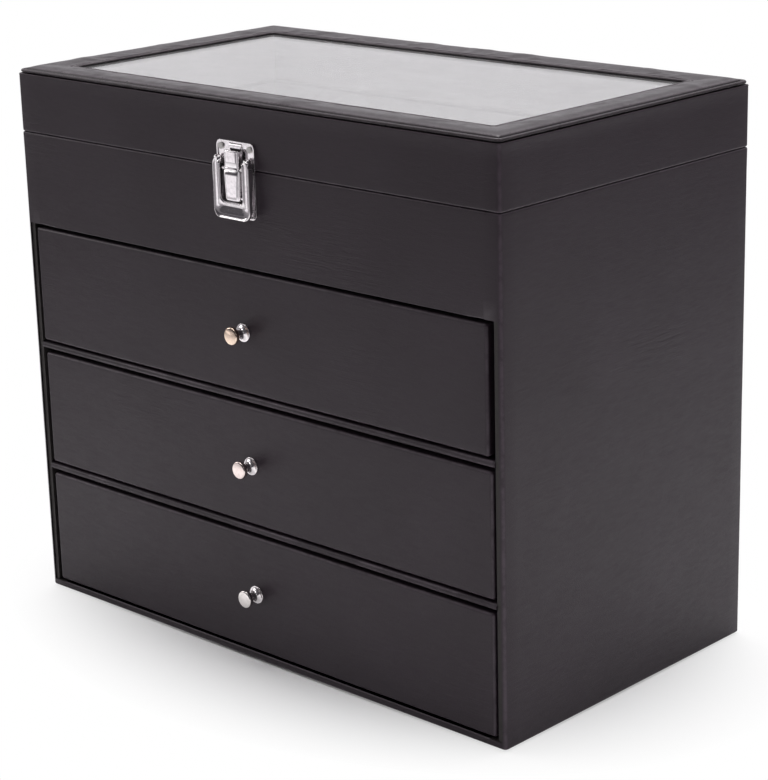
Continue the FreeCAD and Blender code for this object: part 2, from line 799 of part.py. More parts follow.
def make_lever():
    top = pivot_z + lever_top_rise
    bottom = pivot_z - lever_bottom_drop
    shoulder = pivot_z - lever_shoulder_drop
    slot_end = pivot_z - lever_slot_end_drop
    loop = Part.Face(Part.Wire(Part.__sortEdges__(lever_outline())))

    face = loop.extrude(Vector(0, lever_sheet, 0))
    face = face.makeChamfer(lever_face_bevel, edges_where(
        face, lambda b: b.YMax < out(lever_face_reach) + 0.01))
    above_thumb = box((-half_width, half_width), (out(half_depth), front_y),
                      (slot_end, top + overrun))
    face = face.common(above_thumb)

    # thumb tab: a dished sheet trimmed to the rounded outline
    thumb = side_profile(thumb_section(), (-lever_half_width, lever_half_width))
    lip_room = loop.extrude(Vector(0, -lever_face_reach, 0))
    deep_loop = lip_room.fuse(loop.extrude(Vector(0, lever_face_reach, 0)))
    thumb = thumb.common(deep_loop)

    # side walls of the pressed channel, deeper towards the pivot
    wall_face = lever_face_reach - lever_wall_inset
    wall_foot = bottom + lever_corner_radius
    wall_section = [(lever_wall_reach_bottom, wall_foot), (wall_face, wall_foot),
                    (wall_face, shoulder), (lever_wall_reach_top, shoulder)]
    outer_wall = side_profile(wall_section, (lever_half_width - lever_sheet, lever_half_width))
    slot_foot = slot_end + lever_slot_radius
    inner_section = [(lever_wall_reach_bottom, slot_foot), (wall_face, slot_foot),
                     (wall_face, claw_pin_z + claw_curl_radius),
                     (claw_pin_reach, claw_pin_z + claw_curl_radius),
                     (lever_wall_reach_top, claw_pin_z)]
    inner_x = (lever_slot_half_width, lever_slot_half_width + lever_sheet)
    inner_wall = side_profile(inner_section, inner_x)
    pin_lobe = rod(Vector(inner_x[0], out(claw_pin_reach), claw_pin_z), X_AXIS,
                   claw_curl_radius, lever_sheet)

    # cheeks that turn on the rivets
    cheek_x = (lever_neck_half_width - lever_cheek, lever_neck_half_width)
    cheek_lobe = rod(Vector(cheek_x[0], out(lever_pivot_reach), pivot_z), X_AXIS,
                     ear_lobe_radius, lever_cheek)
    cheek_web = side_profile([(lever_pivot_reach, pivot_z - ear_lobe_radius),
                              (wall_face, pivot_z - ear_lobe_radius),
                              (wall_face, pivot_z + lever_cheek_rise),
                              (lever_pivot_reach, pivot_z + ear_lobe_radius)], cheek_x)
    bore = rod(Vector(cheek_x[0] - overrun, out(lever_pivot_reach), pivot_z), X_AXIS,
               rivet_radius + pivot_gap, lever_cheek + 2 * overrun)
    cheek = fused([cheek_lobe, cheek_web]).cut(bore)

    right = [outer_wall, inner_wall, pin_lobe, cheek]
    lever = fused([face, thumb] + right + [mirror_x(piece) for piece in right])
    pin_bore = rod(Vector(-lever_half_width, out(claw_pin_reach), claw_pin_z), X_AXIS,
                   claw_pin_radius, 2 * lever_half_width)
    # the pin goes through the inner walls only
    keep_outer = [box((lever_half_width - lever_sheet, lever_half_width),
                      (out(lever_face_reach), front_y), (bottom, top))]
    keep_outer.append(mirror_x(keep_outer[0]))
    save("latch_lever", lever.cut(pin_bore.cut(keep_outer)))


def make_claw_pin():
    half_length = lever_slot_half_width + lever_sheet + rivet_head_height
    pin = rod(Vector(-half_length, out(claw_pin_reach), claw_pin_z), X_AXIS,
              claw_pin_radius, 2 * half_length)
    save("latch_claw_pin", pin)


def claw_section(half_back, half_front, inset, z):
    """Open channel section seen from above, as a face at height z."""
    back = claw_bevel_reach - inset
    front = claw_front_reach - inset
    return [Vector(-half_back, out(back), z), Vector(-half_front, out(front), z),
            Vector(half_front, out(front), z), Vector(half_back, out(back), z)]


def tapered_strip(top_z, top_half, tip_z, tip_half):
    """Channel strip that tapers downwards: a loft between two bevelled sections."""
    bevel = claw_half_width - claw_face_half_width
    wires = []
    for z, half in ((top_z, top_half), (tip_z, tip_half)):
        outer = claw_section(half, half - bevel, 0, z)
        inner = claw_section(half - claw_sheet / 2, half - bevel, claw_sheet, z)
        wires.append(Part.Wire(lines(outer + inner[::-1])))
    return Part.makeLoft(wires, True, True)


def make_claw():
    hook_bottom = catch_top + claw_lift_gap
    hook_top = hook_bottom + claw_sheet
    tip_reach = latch_plate_thickness + catch_reach + claw_catch_gap
    tip_z = claw_pin_z - claw_tongue_length
    bevel = claw_half_width - claw_face_half_width

    curl = rod(Vector(-claw_half_width, out(claw_pin_reach), claw_pin_z), X_AXIS,
               claw_curl_radius, 2 * claw_half_width)

    # strip above the curl: bevelled channel closed at the top by the hooked flange
    def channel(half_back, half_front, front, back, z_range):
        points = [Vector(-half_back, out(back), z_range[0]),
                  Vector(-half_back, out(front - bevel * claw_bevel_share), z_range[0]),
                  Vector(-half_front, out(front), z_range[0]),
                  Vector(half_front, out(front), z_range[0]),
                  Vector(half_back, out(front - bevel * claw_bevel_share), z_range[0]),
                  Vector(half_back, out(back), z_range[0])]
        return prism(points, Vector(0, 0, z_range[1] - z_range[0]))

    body = channel(claw_half_width, claw_face_half_width, claw_front_reach, tip_reach,
                   (claw_pin_z, hook_top))
    hollow = channel(claw_half_width - claw_sheet, claw_face_half_width - claw_sheet / 2,
                     claw_front_reach - claw_sheet, tip_reach - overrun,
                     (claw_pin_z - overrun, hook_bottom))
    shell = body.cut(hollow)
    # the channel's sides start above the curl
    low_back = box((-claw_half_width, claw_half_width), (out(claw_bevel_reach), front_y),
                   (claw_pin_z - overrun, claw_pin_z + claw_curl_radius))
    shell = shell.cut(low_back)

    tongue = tapered_strip(claw_pin_z, claw_tongue_top_half_width, tip_z,
                           claw_tongue_tip_half_width)
    bore = rod(Vector(-half_width, out(claw_pin_reach), claw_pin_z), X_AXIS,
               claw_pin_radius + pivot_gap, case_width)
    claw = fused([curl, shell, tongue]).cut(bore)
    save("latch_claw", claw)


def make_latch_screws():
    for name, seats in (("keeper_screws", keeper_screw_seats()),
                        ("latch_base_screws", base_screw_seats())):
        save(name, Part.makeCompound([plate_screw(seat, Y_AXIS) for seat in seats]))


# ---------------------------------------------------------------------- hinges

def hinge_leaf(centre_x, height_sign, own_parity):
    """Leaf with every second knuckle; height_sign -1 hangs down, +1 stands up."""
    step = hinge_length / hinge_knuckle_count
    start = centre_x - hinge_length / 2
    z_near = hinge_axis_z + height_sign * hinge_swing_gap
    z_far = hinge_axis_z + height_sign * (hinge_leaf_height + hinge_swing_gap)
    plate = box((start, start + hinge_length), (back_y, back_y + hinge_leaf_thickness),
                (min(z_near, z_far), max(z_near, z_far)))
    corners = edges_where(plate, lambda b: b.YLength > hinge_leaf_thickness / 2
                          and abs(b.ZMin - z_far) < 0.01)
    plate = plate.makeFillet(hinge_knuckle_radius, corners)
    knuckles = []
    clearances = []
    for number in range(hinge_knuckle_count):
        base = Vector(start + number * step, hinge_axis_y, hinge_axis_z)
        if number % 2 == own_parity:
            gap = hinge_knuckle_gap / 2
            knuckles.append(rod(base + X_AXIS * gap, X_AXIS, hinge_knuckle_radius, step - 2 * gap))
        else:
            clearances.append(rod(base - X_AXIS * hinge_knuckle_gap / 2, X_AXIS,
                                  hinge_knuckle_radius + hinge_swing_gap,
                                  step + hinge_knuckle_gap))
    leaf = fused([plate] + knuckles)
    bore = rod(Vector(start - overrun, hinge_axis_y, hinge_axis_z), X_AXIS,
               hinge_pin_radius + hinge_pin_gap, hinge_length + 2 * overrun)
    return cut_all(leaf, clearances + [bore])


def make_hinges():
    for body, height_sign, parity in (("case", -1, 0), ("lid", 1, 1)):
        seats = hinge_screw_seats(height_sign)
        holes = back_screw_holes(seats)
        for side, centre in (("left", -hinge_centre), ("right", hinge_centre)):
            leaf = cut_all(hinge_leaf(centre, height_sign, parity), holes)
            save("hinge_%s_leaf_%s" % (body, side), leaf)
        screws = [plate_screw(seat, Y_AXIS * -1) for seat in seats]
        save("hinge_%s_screws" % body, Part.makeCompound(screws))
    pins = []
    for centre in (-hinge_centre, hinge_centre):
        start = Vector(centre - hinge_length / 2, hinge_axis_y, hinge_axis_z)
        pins.append(rod(start, X_AXIS, hinge_pin_radius, hinge_length))
    save("hinge_pins", Part.makeCompound(pins))


# ------------------------------------------------------------------------ main

os.makedirs("parts", exist_ok=True)
make_case()
make_top_tray()
for number in range(bay_count):
    make_drawer(number, "drawer_%d" % (bay_count - number))
make_lid()
make_keeper()
make_base_plate()
make_lever_rivets()
make_lever()
make_claw_pin()
make_claw()
make_latch_screws()
make_hinges()
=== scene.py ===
import math

import bmesh
import bpy
from mathutils import Matrix, Vector, noise


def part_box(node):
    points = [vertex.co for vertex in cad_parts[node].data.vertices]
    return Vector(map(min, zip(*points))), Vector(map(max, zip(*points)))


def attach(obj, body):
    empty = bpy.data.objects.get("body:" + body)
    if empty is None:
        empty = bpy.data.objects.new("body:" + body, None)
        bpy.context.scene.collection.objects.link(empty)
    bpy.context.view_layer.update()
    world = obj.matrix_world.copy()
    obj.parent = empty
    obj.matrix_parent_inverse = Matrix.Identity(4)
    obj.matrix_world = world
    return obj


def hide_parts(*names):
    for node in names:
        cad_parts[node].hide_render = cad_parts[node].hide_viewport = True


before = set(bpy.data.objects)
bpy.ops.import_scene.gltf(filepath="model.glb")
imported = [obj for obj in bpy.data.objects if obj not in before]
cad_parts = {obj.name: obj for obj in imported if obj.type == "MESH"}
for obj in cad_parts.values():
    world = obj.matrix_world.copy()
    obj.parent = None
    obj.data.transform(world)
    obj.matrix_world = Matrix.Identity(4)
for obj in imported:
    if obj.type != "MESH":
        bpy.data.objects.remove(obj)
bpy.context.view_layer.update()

# Pen collector chest, dressed for rendering. Metres, in the CAD frame: +X right,
# +Y to the rear, +Z up, origin at the centre of the underside. Every place is
# read from the CAD boxes, so a new pack carries the dressing with it.

MM = 0.001
DRAWERS = ("drawer_1", "drawer_2", "drawer_3")


# ------------------------------------------------------------------ node helper

class Nodes:
    """Short way to write the node tree of a material or a world."""

    def __init__(self, name, group=bpy.data.materials, output="ShaderNodeOutputMaterial"):
        self.owner = group.new(name)
        self.owner.use_nodes = True
        self.tree = self.owner.node_tree
        self.tree.nodes.clear()
        self.output = self.tree.nodes.new(output)

    def node(self, kind, settings=None, **inputs):
        made = self.tree.nodes.new(kind)
        for key, value in (settings or {}).items():
            setattr(made, key, value)
        for key, value in inputs.items():
            self.feed(made, key.replace("_", " "), value)
        return made

    def feed(self, made, socket, value):
        target = made.inputs[int(socket[1:])] if socket[0] == "#" else made.inputs[socket]
        if isinstance(value, bpy.types.NodeSocket):
            self.tree.links.new(value, target)
        else:
            target.default_value = value

    def place(self):
        """Rest-pose coordinates in metres, which stay with the piece as it moves."""
        return self.node("ShaderNodeTexCoord").outputs["Object"]

    def stretched(self, vector, scale):
        made = self.node("ShaderNodeMapping", Vector=vector)
        made.inputs["Scale"].default_value = scale
        return made.outputs["Vector"]

    def noise(self, vector, scale, detail=3.0, roughness=0.55, distortion=0.0):
        return self.node("ShaderNodeTexNoise", Vector=vector, Scale=scale, Detail=detail,
                         Roughness=roughness, Distortion=distortion).outputs["Fac"]

    def cells(self, vector, scale):
        made = self.node("ShaderNodeTexVoronoi", {"feature": "DISTANCE_TO_EDGE"}, Vector=vector,
                         Scale=scale)
        return made.outputs["Distance"]

    def grey_ramp(self, value, low, high, first=0.0, last=1.0):
        made = self.node("ShaderNodeMapRange", Value=value)
        for socket, number in (("From Min", low), ("From Max", high),
                               ("To Min", first), ("To Max", last)):
            made.inputs[socket].default_value = number
        return made.outputs["Result"]

    def math(self, operation, a, b=0.0):
        made = self.node("ShaderNodeMath", {"operation": operation})
        self.feed(made, "#0", a)
        self.feed(made, "#1", b)
        return made.outputs[0]

    def vector_math(self, operation, *values):
        made = self.node("ShaderNodeVectorMath", {"operation": operation})
        for index, value in enumerate(values):
            self.feed(made, f"#{index}", value)
        return made.outputs

    def mix(self, factor, a, b):
        made = self.node("ShaderNodeMix", {"data_type": "RGBA"})
        self.feed(made, "#0", factor)
        self.feed(made, "#6", a)
        self.feed(made, "#7", b)
        return made.outputs[2]

    def mix_shader(self, factor, a, b):
        made = self.node("ShaderNodeMixShader")
        for index, value in enumerate((factor, a, b)):
            self.feed(made, f"#{index}", value)
        return made.outputs[0]

    def seen_directly(self):
        """1 for rays from the camera and through the glass, 0 for light and reflections."""
        path = self.node("ShaderNodeLightPath").outputs
        return self.math("MAXIMUM", path["Is Camera Ray"], path["Is Transmission Ray"])

    def attribute(self, name):
        return self.node("ShaderNodeAttribute", {"attribute_name": name}).outputs["Fac"]

    def bump(self, height, strength, distance, normal=None):
        made = self.node("ShaderNodeBump", Height=height, Strength=strength, Distance=distance)
        if normal is not None:
            self.feed(made, "Normal", normal)
        return made.outputs["Normal"]

    def surface(self, shader):
        self.tree.links.new(shader, self.output.inputs["Surface"])
        return self.owner

    def principled(self, **inputs):
        made = self.node("ShaderNodeBsdfPrincipled")
        for key, value in inputs.items():
            self.feed(made, key.replace("_", " "), value)
        return self.surface(made.outputs["BSDF"])


def rgb(red, green, blue):
    return (red, green, blue, 1.0)


def scaled(colour, factor):
    return rgb(*[c * factor for c in colour])


# -------------------------------------------------------------------- materials

def leather(name, dark, light, wrinkle_axis, bump=0.30, polish=0.0):
    """Fine-grained coated leather: pebbled grain, faint creases, paler edges that are part wear
    and part painted highlight.
    """
    n = Nodes(name)
    place = n.place()
    wander = n.noise(place, 55.0, 2.0)
    shift = n.node("ShaderNodeCombineXYZ", X=n.math("MULTIPLY", wander, 0.004),
                   Y=n.math("MULTIPLY", wander, 0.003)).outputs[0]
    grain_place = n.vector_math("ADD", place, shift)["Vector"]
    pebbles = n.grey_ramp(n.cells(grain_place, 1150.0), 0.0, 0.22)
    pores = n.noise(place, 2600.0, 2.0)
    creases = n.noise(n.stretched(place, wrinkle_axis), 130.0, 4.0, 0.6, 0.6)
    drift = n.noise(place, 14.0, 2.0)
    # paler rounded edges: part real wear, part painted highlight along the edges
    wear_and_highlight = n.math("MULTIPLY", n.attribute("edge_wear_highlight"), n.grey_ramp(n.noise(place, 160.0, 4.0, 0.7),
                                                               0.22, 0.60))
    body = n.mix(n.grey_ramp(drift, 0.3, 0.7), rgb(*dark), rgb(*light))
    body = n.mix(n.grey_ramp(pebbles, 0.0, 0.5, 0.35, 0.0), body, scaled(dark, 0.45))
    # pale colour of the rounded edges: part wear, part painted highlight
    wear_highlight_colour = rgb(*[c * 2.3 + 0.03 for c in light])
    colour = n.mix(n.math("MULTIPLY", wear_and_highlight, 0.75), body, wear_highlight_colour)
    roughness = n.math("ADD", n.grey_ramp(creases, 0.3, 0.7, 0.40 - polish, 0.52 - polish),
                       n.math("MULTIPLY", wear_and_highlight, -0.10))
    wrinkles = n.noise(n.stretched(place, (0.3, 0.3, 4.0)), 150.0, 3.0, 0.55, 0.9)
    patches = n.grey_ramp(n.noise(n.stretched(place, (1.0, 1.0, 1.6)), 9.0, 3.0), 0.53, 0.72)
    folds = n.math("MULTIPLY", wrinkles, patches)
    height = n.math("ADD", n.math("MULTIPLY", pebbles, 0.55), n.math("MULTIPLY", pores, 0.25))
    fine = n.bump(height, bump, 0.00012)
    soft = n.bump(creases, 0.16, 0.0006, fine)
    normal = n.bump(folds, 0.3, 0.0011, soft)
    return n.principled(Base_Color=colour, Roughness=roughness, Specular_IOR_Level=0.34,
                        Coat_Weight=0.03, Coat_Roughness=0.35, Sheen_Weight=0.02,
                        Sheen_Roughness=0.5, Normal=normal)


def velvet(name, dark, light):
    """Short flocked pile: sheen at grazing angles, brushed lighter and darker streaks."""
    n = Nodes(name)
    place = n.place()
    pile = n.noise(place, 3200.0, 2.0)
    brushed = n.noise(n.stretched(place, (60.0, 18.0, 30.0)), 1.0, 4.0, 0.6)
    lint = n.grey_ramp(n.noise(place, 900.0, 3.0, 0.7), 0.66, 0.74)
    colour = n.mix(n.grey_ramp(brushed, 0.3, 0.7), rgb(*dark), rgb(*light))
    colour = n.mix(n.math("MULTIPLY", lint, 0.25), colour, scaled(light, 1.25))
    colour = n.mix(n.grey_ramp(pile, 0.3, 0.7, 0.0, 0.16), colour, scaled(dark, 0.6))
    return n.principled(Base_Color=colour, Roughness=n.grey_ramp(brushed, 0.3, 0.7, 0.82, 0.95),
                        Sheen_Weight=0.45, Sheen_Roughness=0.35, Specular_IOR_Level=0.15,
                        Normal=n.bump(pile, 0.5, 0.00025))


def felt(name, colour):
    """Pressed felt: tangled fibres, matte."""
    n = Nodes(name)
    place = n.place()
    fibres = n.noise(n.stretched(place, (1.0, 2.6, 1.0)), 1400.0, 5.0, 0.7, 1.5)
    clumps = n.noise(place, 120.0, 3.0)
    shade = n.mix(n.grey_ramp(clumps, 0.3, 0.7), rgb(*colour), scaled(colour, 1.9))
    shade = n.mix(n.grey_ramp(fibres, 0.45, 0.7, 0.0, 0.4), shade, scaled(colour, 3))
    return n.principled(Base_Color=shade, Roughness=0.95, Sheen_Weight=0.2,
                        Specular_IOR_Level=0.1, Normal=n.bump(fibres, 0.6, 0.0003))


def fibreboard(name, dark, light):
    """Black-stained board: streaky stain, fine chips, slightly glossier along some streaks."""
    n = Nodes(name)
    place = n.place()
    streaks = n.noise(n.stretched(place, (1.0, 9.0, 9.0)), 40.0, 5.0, 0.65, 0.4)
    chips = n.noise(place, 1500.0, 4.0, 0.7)
    colour = n.mix(n.grey_ramp(streaks, 0.3, 0.7), rgb(*dark), rgb(*light))
    colour = n.mix(n.grey_ramp(chips, 0.6, 0.75, 0.0, 0.35), colour, scaled(light, 2.2))
    return n.principled(Base_Color=colour, Roughness=n.grey_ramp(streaks, 0.3, 0.7, 0.55, 0.75),
                        Specular_IOR_Level=0.4, Normal=n.bump(chips, 0.35, 0.0002))


def polished(name, colour, roughness=0.07, edge=0.00018):
    """Bright plated metal: softened edges, faint polishing lines, small dull spots."""
    n = Nodes(name)
    place = n.place()
    lines = n.noise(n.stretched(place, (1.0, 1.0, 14.0)), 700.0, 3.0)
    dull = n.noise(place, 420.0, 4.0, 0.65)
    tone = n.mix(n.grey_ramp(dull, 0.45, 0.75), rgb(*colour), scaled(colour, 0.82))
    rough = n.math("ADD", n.grey_ramp(dull, 0.4, 0.8, roughness, roughness + 0.10),
                   n.grey_ramp(lines, 0.3, 0.7, 0.0, 0.03))
    soft = n.node("ShaderNodeBevel", {"samples": 6}, Radius=edge).outputs["Normal"]
    return n.principled(Base_Color=tone, Metallic=1.0, Roughness=rough,
                        Normal=n.bump(lines, 0.04, 0.0001, soft))


def brushed(name, colour):
    """Satin nickel-plated steel with brushing along its length and tarnish in scattered patches.
    """
    n = Nodes(name)
    place = n.place()
    strokes = n.noise(n.stretched(place, (4.0, 60.0, 60.0)), 60.0, 4.0, 0.7)
    tarnish = n.noise(place, 260.0, 4.0, 0.7)
    tone = n.mix(n.grey_ramp(strokes, 0.3, 0.7), rgb(*colour), scaled(colour, 0.78))
    tone = n.mix(n.grey_ramp(tarnish, 0.6, 0.8, 0.0, 0.5), tone,
                 rgb(colour[0] * 0.5, colour[1] * 0.45, colour[2] * 0.36))
    soft = n.node("ShaderNodeBevel", {"samples": 6}, Radius=0.00015).outputs["Normal"]
    return n.principled(Base_Color=tone, Metallic=1.0,
                        Roughness=n.grey_ramp(strokes, 0.3, 0.7, 0.24, 0.38),
                        Normal=n.bump(strokes, 0.10, 0.0001, soft))


def pane(name):
    """Clear glass with a faint haze of dust and wiping marks."""
    n = Nodes(name)
    place = n.place()
    wipes = n.noise(n.stretched(place, (1.0, 3.0, 1.0)), 26.0, 4.0, 0.6, 0.8)
    dust = n.grey_ramp(n.noise(place, 2400.0, 2.0), 0.70, 0.80)
    haze = n.mix(n.grey_ramp(wipes, 0.3, 0.7), rgb(0.90, 0.90, 0.91), rgb(0.96, 0.96, 0.965))
    clear = n.node("ShaderNodeBsdfPrincipled", Base_Color=haze, IOR=1.5, Transmission_Weight=1.0,
                   Roughness=n.grey_ramp(wipes, 0.3, 0.7, 0.0, 0.035))
    film = n.node("ShaderNodeBsdfPrincipled", Base_Color=rgb(0.72, 0.71, 0.72), Roughness=0.6)
    cover = n.math("ADD", n.grey_ramp(wipes, 0.3, 0.7, 0.05, 0.11), n.math("MULTIPLY", dust, 0.05))
    return n.surface(n.mix_shader(cover, clear.outputs["BSDF"], film.outputs["BSDF"]))


LEATHER_DARK = (0.0205, 0.0118, 0.0182)
LEATHER_LIGHT = (0.0275, 0.0175, 0.0255)
case_hide = leather("case_leather", LEATHER_DARK, LEATHER_LIGHT, (1.0, 1.0, 5.0))
drawer_hide = leather("drawer_leather", LEATHER_DARK, LEATHER_LIGHT, (1.0, 1.0, 4.0))
pad_hide = leather("pad_leather", (0.0160, 0.0098, 0.0135), (0.0215, 0.0145, 0.0190),
                   (1.0, 1.0, 1.0), 0.30, 0.09)
thread = felt("thread", (0.004, 0.0035, 0.004))
pile = velvet("tray_velvet", (0.50, 0.49, 0.50), (0.60, 0.59, 0.60))
lining = velvet("lining_velvet", (0.46, 0.45, 0.46), (0.56, 0.55, 0.56))
base_felt = felt("base_felt", (0.016, 0.016, 0.017))
board = fibreboard("stained_board", (0.020, 0.017, 0.017), (0.038, 0.033, 0.032))
chrome = polished("chrome", (0.86, 0.83, 0.845))
chrome_dished = polished("chrome_screw", (0.66, 0.66, 0.60), 0.16)
nickel = brushed("nickel", (0.62, 0.61, 0.59))
knob_metals = {
    "drawer_1": polished("knob_warm", (0.90, 0.72, 0.58), 0.10, 0.0001),
    "drawer_2": polished("knob_champagne", (0.89, 0.77, 0.73), 0.10, 0.0001),
    "drawer_3": polished("knob_silver", (0.84, 0.80, 0.78), 0.10, 0.0001),
}
rose_metal = polished("knob_rose_plate", (0.87, 0.83, 0.84), 0.17, 0.0001)
glass = pane("window_glass")


# ---------------------------------------------------------------- mesh builders

def make_piece(name, vertices, faces, material, body, nodes=(), slot=None):
    """Mesh object that rides on a body and stands for the CAD nodes named."""
    mesh = bpy.data.meshes.new(name)
    mesh.from_pydata([tuple(v) for v in vertices], [], [tuple(f) for f in faces])
    mesh.update()
    piece = bpy.data.objects.new(name, mesh)
    bpy.context.scene.collection.objects.link(piece)
    mesh.materials.append(material)
    clean(mesh)
    mesh.shade_smooth()
    mesh.set_sharp_from_angle(angle=math.radians(52))
    mark_wear_highlight(mesh)
    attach(piece, body)
    if nodes:
        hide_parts(*nodes)
    return piece


def clean(mesh):
    """Joins doubled points and turns all faces outwards."""
    work = bmesh.new()
    work.from_mesh(mesh)
    bmesh.ops.remove_doubles(work, verts=work.verts, dist=1e-6)
    bmesh.ops.dissolve_degenerate(work, edges=work.edges, dist=1e-7)
    bmesh.ops.recalc_face_normals(work, faces=work.faces)
    work.to_mesh(mesh)
    work.free()
    mesh.update()


def mark_wear_highlight(mesh):
    """Point attribute that is 1 on rounded edges and 0 on flats; the leather paints these edges
    paler, part wear and part painted highlight.
    """
    layer = mesh.attributes.new("edge_wear_highlight", "FLOAT", "POINT")
    values = []
    for vertex in mesh.vertices:
        main = max(abs(c) for c in vertex.normal)
        values.append(min(1.0, max(0.0, (0.992 - main) / 0.12)))
    layer.data.foreach_set("value", values)


def ripple(point, height, size):
    """Slight unevenness of stretched leather, the same on every run."""
    p = point / size
    return height * (noise.noise(p) + 0.5 * noise.noise(p * 2.3 + Vector((7.1, 3.3, 5.7))))


def grid_lines(low, high, radius, cell, steps):
    """Places along one side of a rounded box: fine on the rounding, then even cells."""
    turn = [radius * math.tan(math.radians(45) * (1 - k / steps)) for k in range(steps)]
    start = [low + radius - t for t in turn] + [low + radius]
    if high - low > 2 * radius + 3 * MM:
        start.append(low + radius + 0.7 * MM)
    end = [low + high - p for p in reversed(start)]
    inner_low, inner_high = start[-1], end[0]
    count = max(1, round((inner_high - inner_low) / cell))
    middle = [inner_low + (inner_high - inner_low) * k / count for k in range(1, count)]
    return start + middle + end


def rounded_box(low, high, radius, cell, steps=3, wave=0.0, size=0.05):
    """Vertices and faces of a closed box with rounded edges and slightly uneven sides."""
    low, high = Vector(low), Vector(high)
    lines = [grid_lines(low[a], high[a], radius, cell, steps) for a in range(3)]
    inner_low = low + Vector((radius,) * 3)
    inner_high = high - Vector((radius,) * 3)
    vertices, faces = [], []
    for axis in range(3):
        u_axis, v_axis = [a for a in range(3) if a != axis]
        for at in (low[axis], high[axis]):
            first = len(vertices)
            for u in lines[u_axis]:
                for v in lines[v_axis]:
                    p = Vector((0, 0, 0))
                    p[axis], p[u_axis], p[v_axis] = at, u, v
                    q = Vector([min(max(p[a], inner_low[a]), inner_high[a]) for a in range(3)])
                    direction = (p - q).normalized()
                    vertices.append(q + direction * (radius + ripple(p, wave, size)))
            rows, columns = len(lines[u_axis]), len(lines[v_axis])
            for i in range(rows - 1):
                for j in range(columns - 1):
                    a = first + i * columns + j
                    faces.append((a, a + 1, a + columns + 1, a + columns))
    return vertices, faces


def spaced(low, high, cell):
    count = max(1, round((high - low) / cell))
    return [low + (high - low) * k / count for k in range(count + 1)]


def ring_path(half_x, half_y, radius, cell, steps, mark=None):
    """Points and outward directions round a rectangle with round corners; mark is a
    distance from the centre at which the front and back sides get a point."""
    points = []
    corners = [(1, -1, -90), (1, 1, 0), (-1, 1, 90), (-1, -1, 180)]
    for index, (sx, sy, start) in enumerate(corners):
        for k in range(steps + 1):
            angle = math.radians(start + 90 * k / steps)
            points.append((sx, sy, math.cos(angle), math.sin(angle)))
        nx, ny, _ = corners[(index + 1) % 4]
        along_x = nx != sx
        half = (half_x if along_x else half_y) - radius
        places = spaced(-half, half, cell)
        if mark and along_x:
            places = sorted([p for p in places if abs(abs(p) - mark) > cell / 3] + [-mark, mark])
        end = math.radians(start + 90)
        for p in places[1:-1]:
            share = p / half
            points.append((share * (nx if along_x else 1) if along_x else sx,
                           sy if along_x else share * ny, math.cos(end), math.sin(end)))
    return points


def ring(profile, half_x, half_y, radius, cell, steps=5, closed=True, wave=None, mark=None):
    """Profile of (inset, z) points carried round a rectangle with round corners."""
    path = ring_path(half_x, half_y, radius, cell, steps, mark)
    vertices, faces = [], []
    for inset, z in profile:
        corner = max(radius - inset, 0.0)
        reach = min(radius - inset, 0.0)
        for sx, sy, cx, cy in path:
            x = sx * (half_x - radius + reach) + corner * cx
            y = sy * (half_y - radius + reach) + corner * cy
            vertices.append(Vector((x, y, z)))
    around = len(path)
    rows = len(profile)
    for i in range(rows if closed else rows - 1):
        for j in range(around):
            a, b = i * around, ((i + 1) % rows) * around
            faces.append((a + j, a + (j + 1) % around, b + (j + 1) % around, b + j))
    if wave:
        vertices = [wave(v) for v in vertices]
    return vertices, faces


def round_turn(centre, radius, first, last, steps):
    """Points along an arc in a profile, angles in degrees."""
    return [(centre[0] + radius * math.cos(math.radians(first + (last - first) * k / steps)),
             centre[1] + radius * math.sin(math.radians(first + (last - first) * k / steps)))
            for k in range(steps + 1)]


def carried_loops(loops, first_cap=True, last_cap=True):
    """Skin over closed loops of equally many points."""
    vertices = [Vector(p) for loop in loops for p in loop]
    count = len(loops[0])
    faces = []
    for i in range(len(loops) - 1):
        for j in range(count):
            a, b, k = i * count, (i + 1) * count, (j + 1) % count
            faces.append((a + j, a + k, b + k, b + j))
    if first_cap:
        faces.append(tuple(range(count)))
    if last_cap:
        faces.append(tuple((len(loops) - 1) * count + j for j in range(count)))
    return vertices, faces


def joined(*shapes):
    """Several (vertices, faces) shapes as one."""
    vertices, faces = [], []
    for more_vertices, more_faces in shapes:
        first = len(vertices)
        vertices += more_vertices
        faces += [tuple(first + i for i in face) for face in more_faces]
    return vertices, faces


def circle(count):
    """(cosine, sine) of evenly spaced angles round a full turn."""
    angles = [2 * math.pi * k / count for k in range(count)]
    return [(math.cos(angle), math.sin(angle)) for angle in angles]


def lathe(profile, centre):
    """(radius, height) profile in mm, turned about an axis that runs along -Y."""
    return carried_loops([[(centre[0] + radius * MM * c, centre[1] - height * MM,
                            centre[2] + radius * MM * s) for c, s in circle(56)]
                          for radius, height in profile], first_cap=False, last_cap=False)


# ------------------------------------------------------------------ case leather

def uneven(half_x, half_y, height, size):
    """Wave that moves a point of a wall along its own wall's direction."""
    def wave(v):
        if abs(v.x / half_x) > abs(v.y / half_y):
            push = Vector((math.copysign(1, v.x), 0, 0))
        else:
            push = Vector((0, math.copysign(1, v.y), 0))
        return v + push * ripple(v, height, size)
    return wave


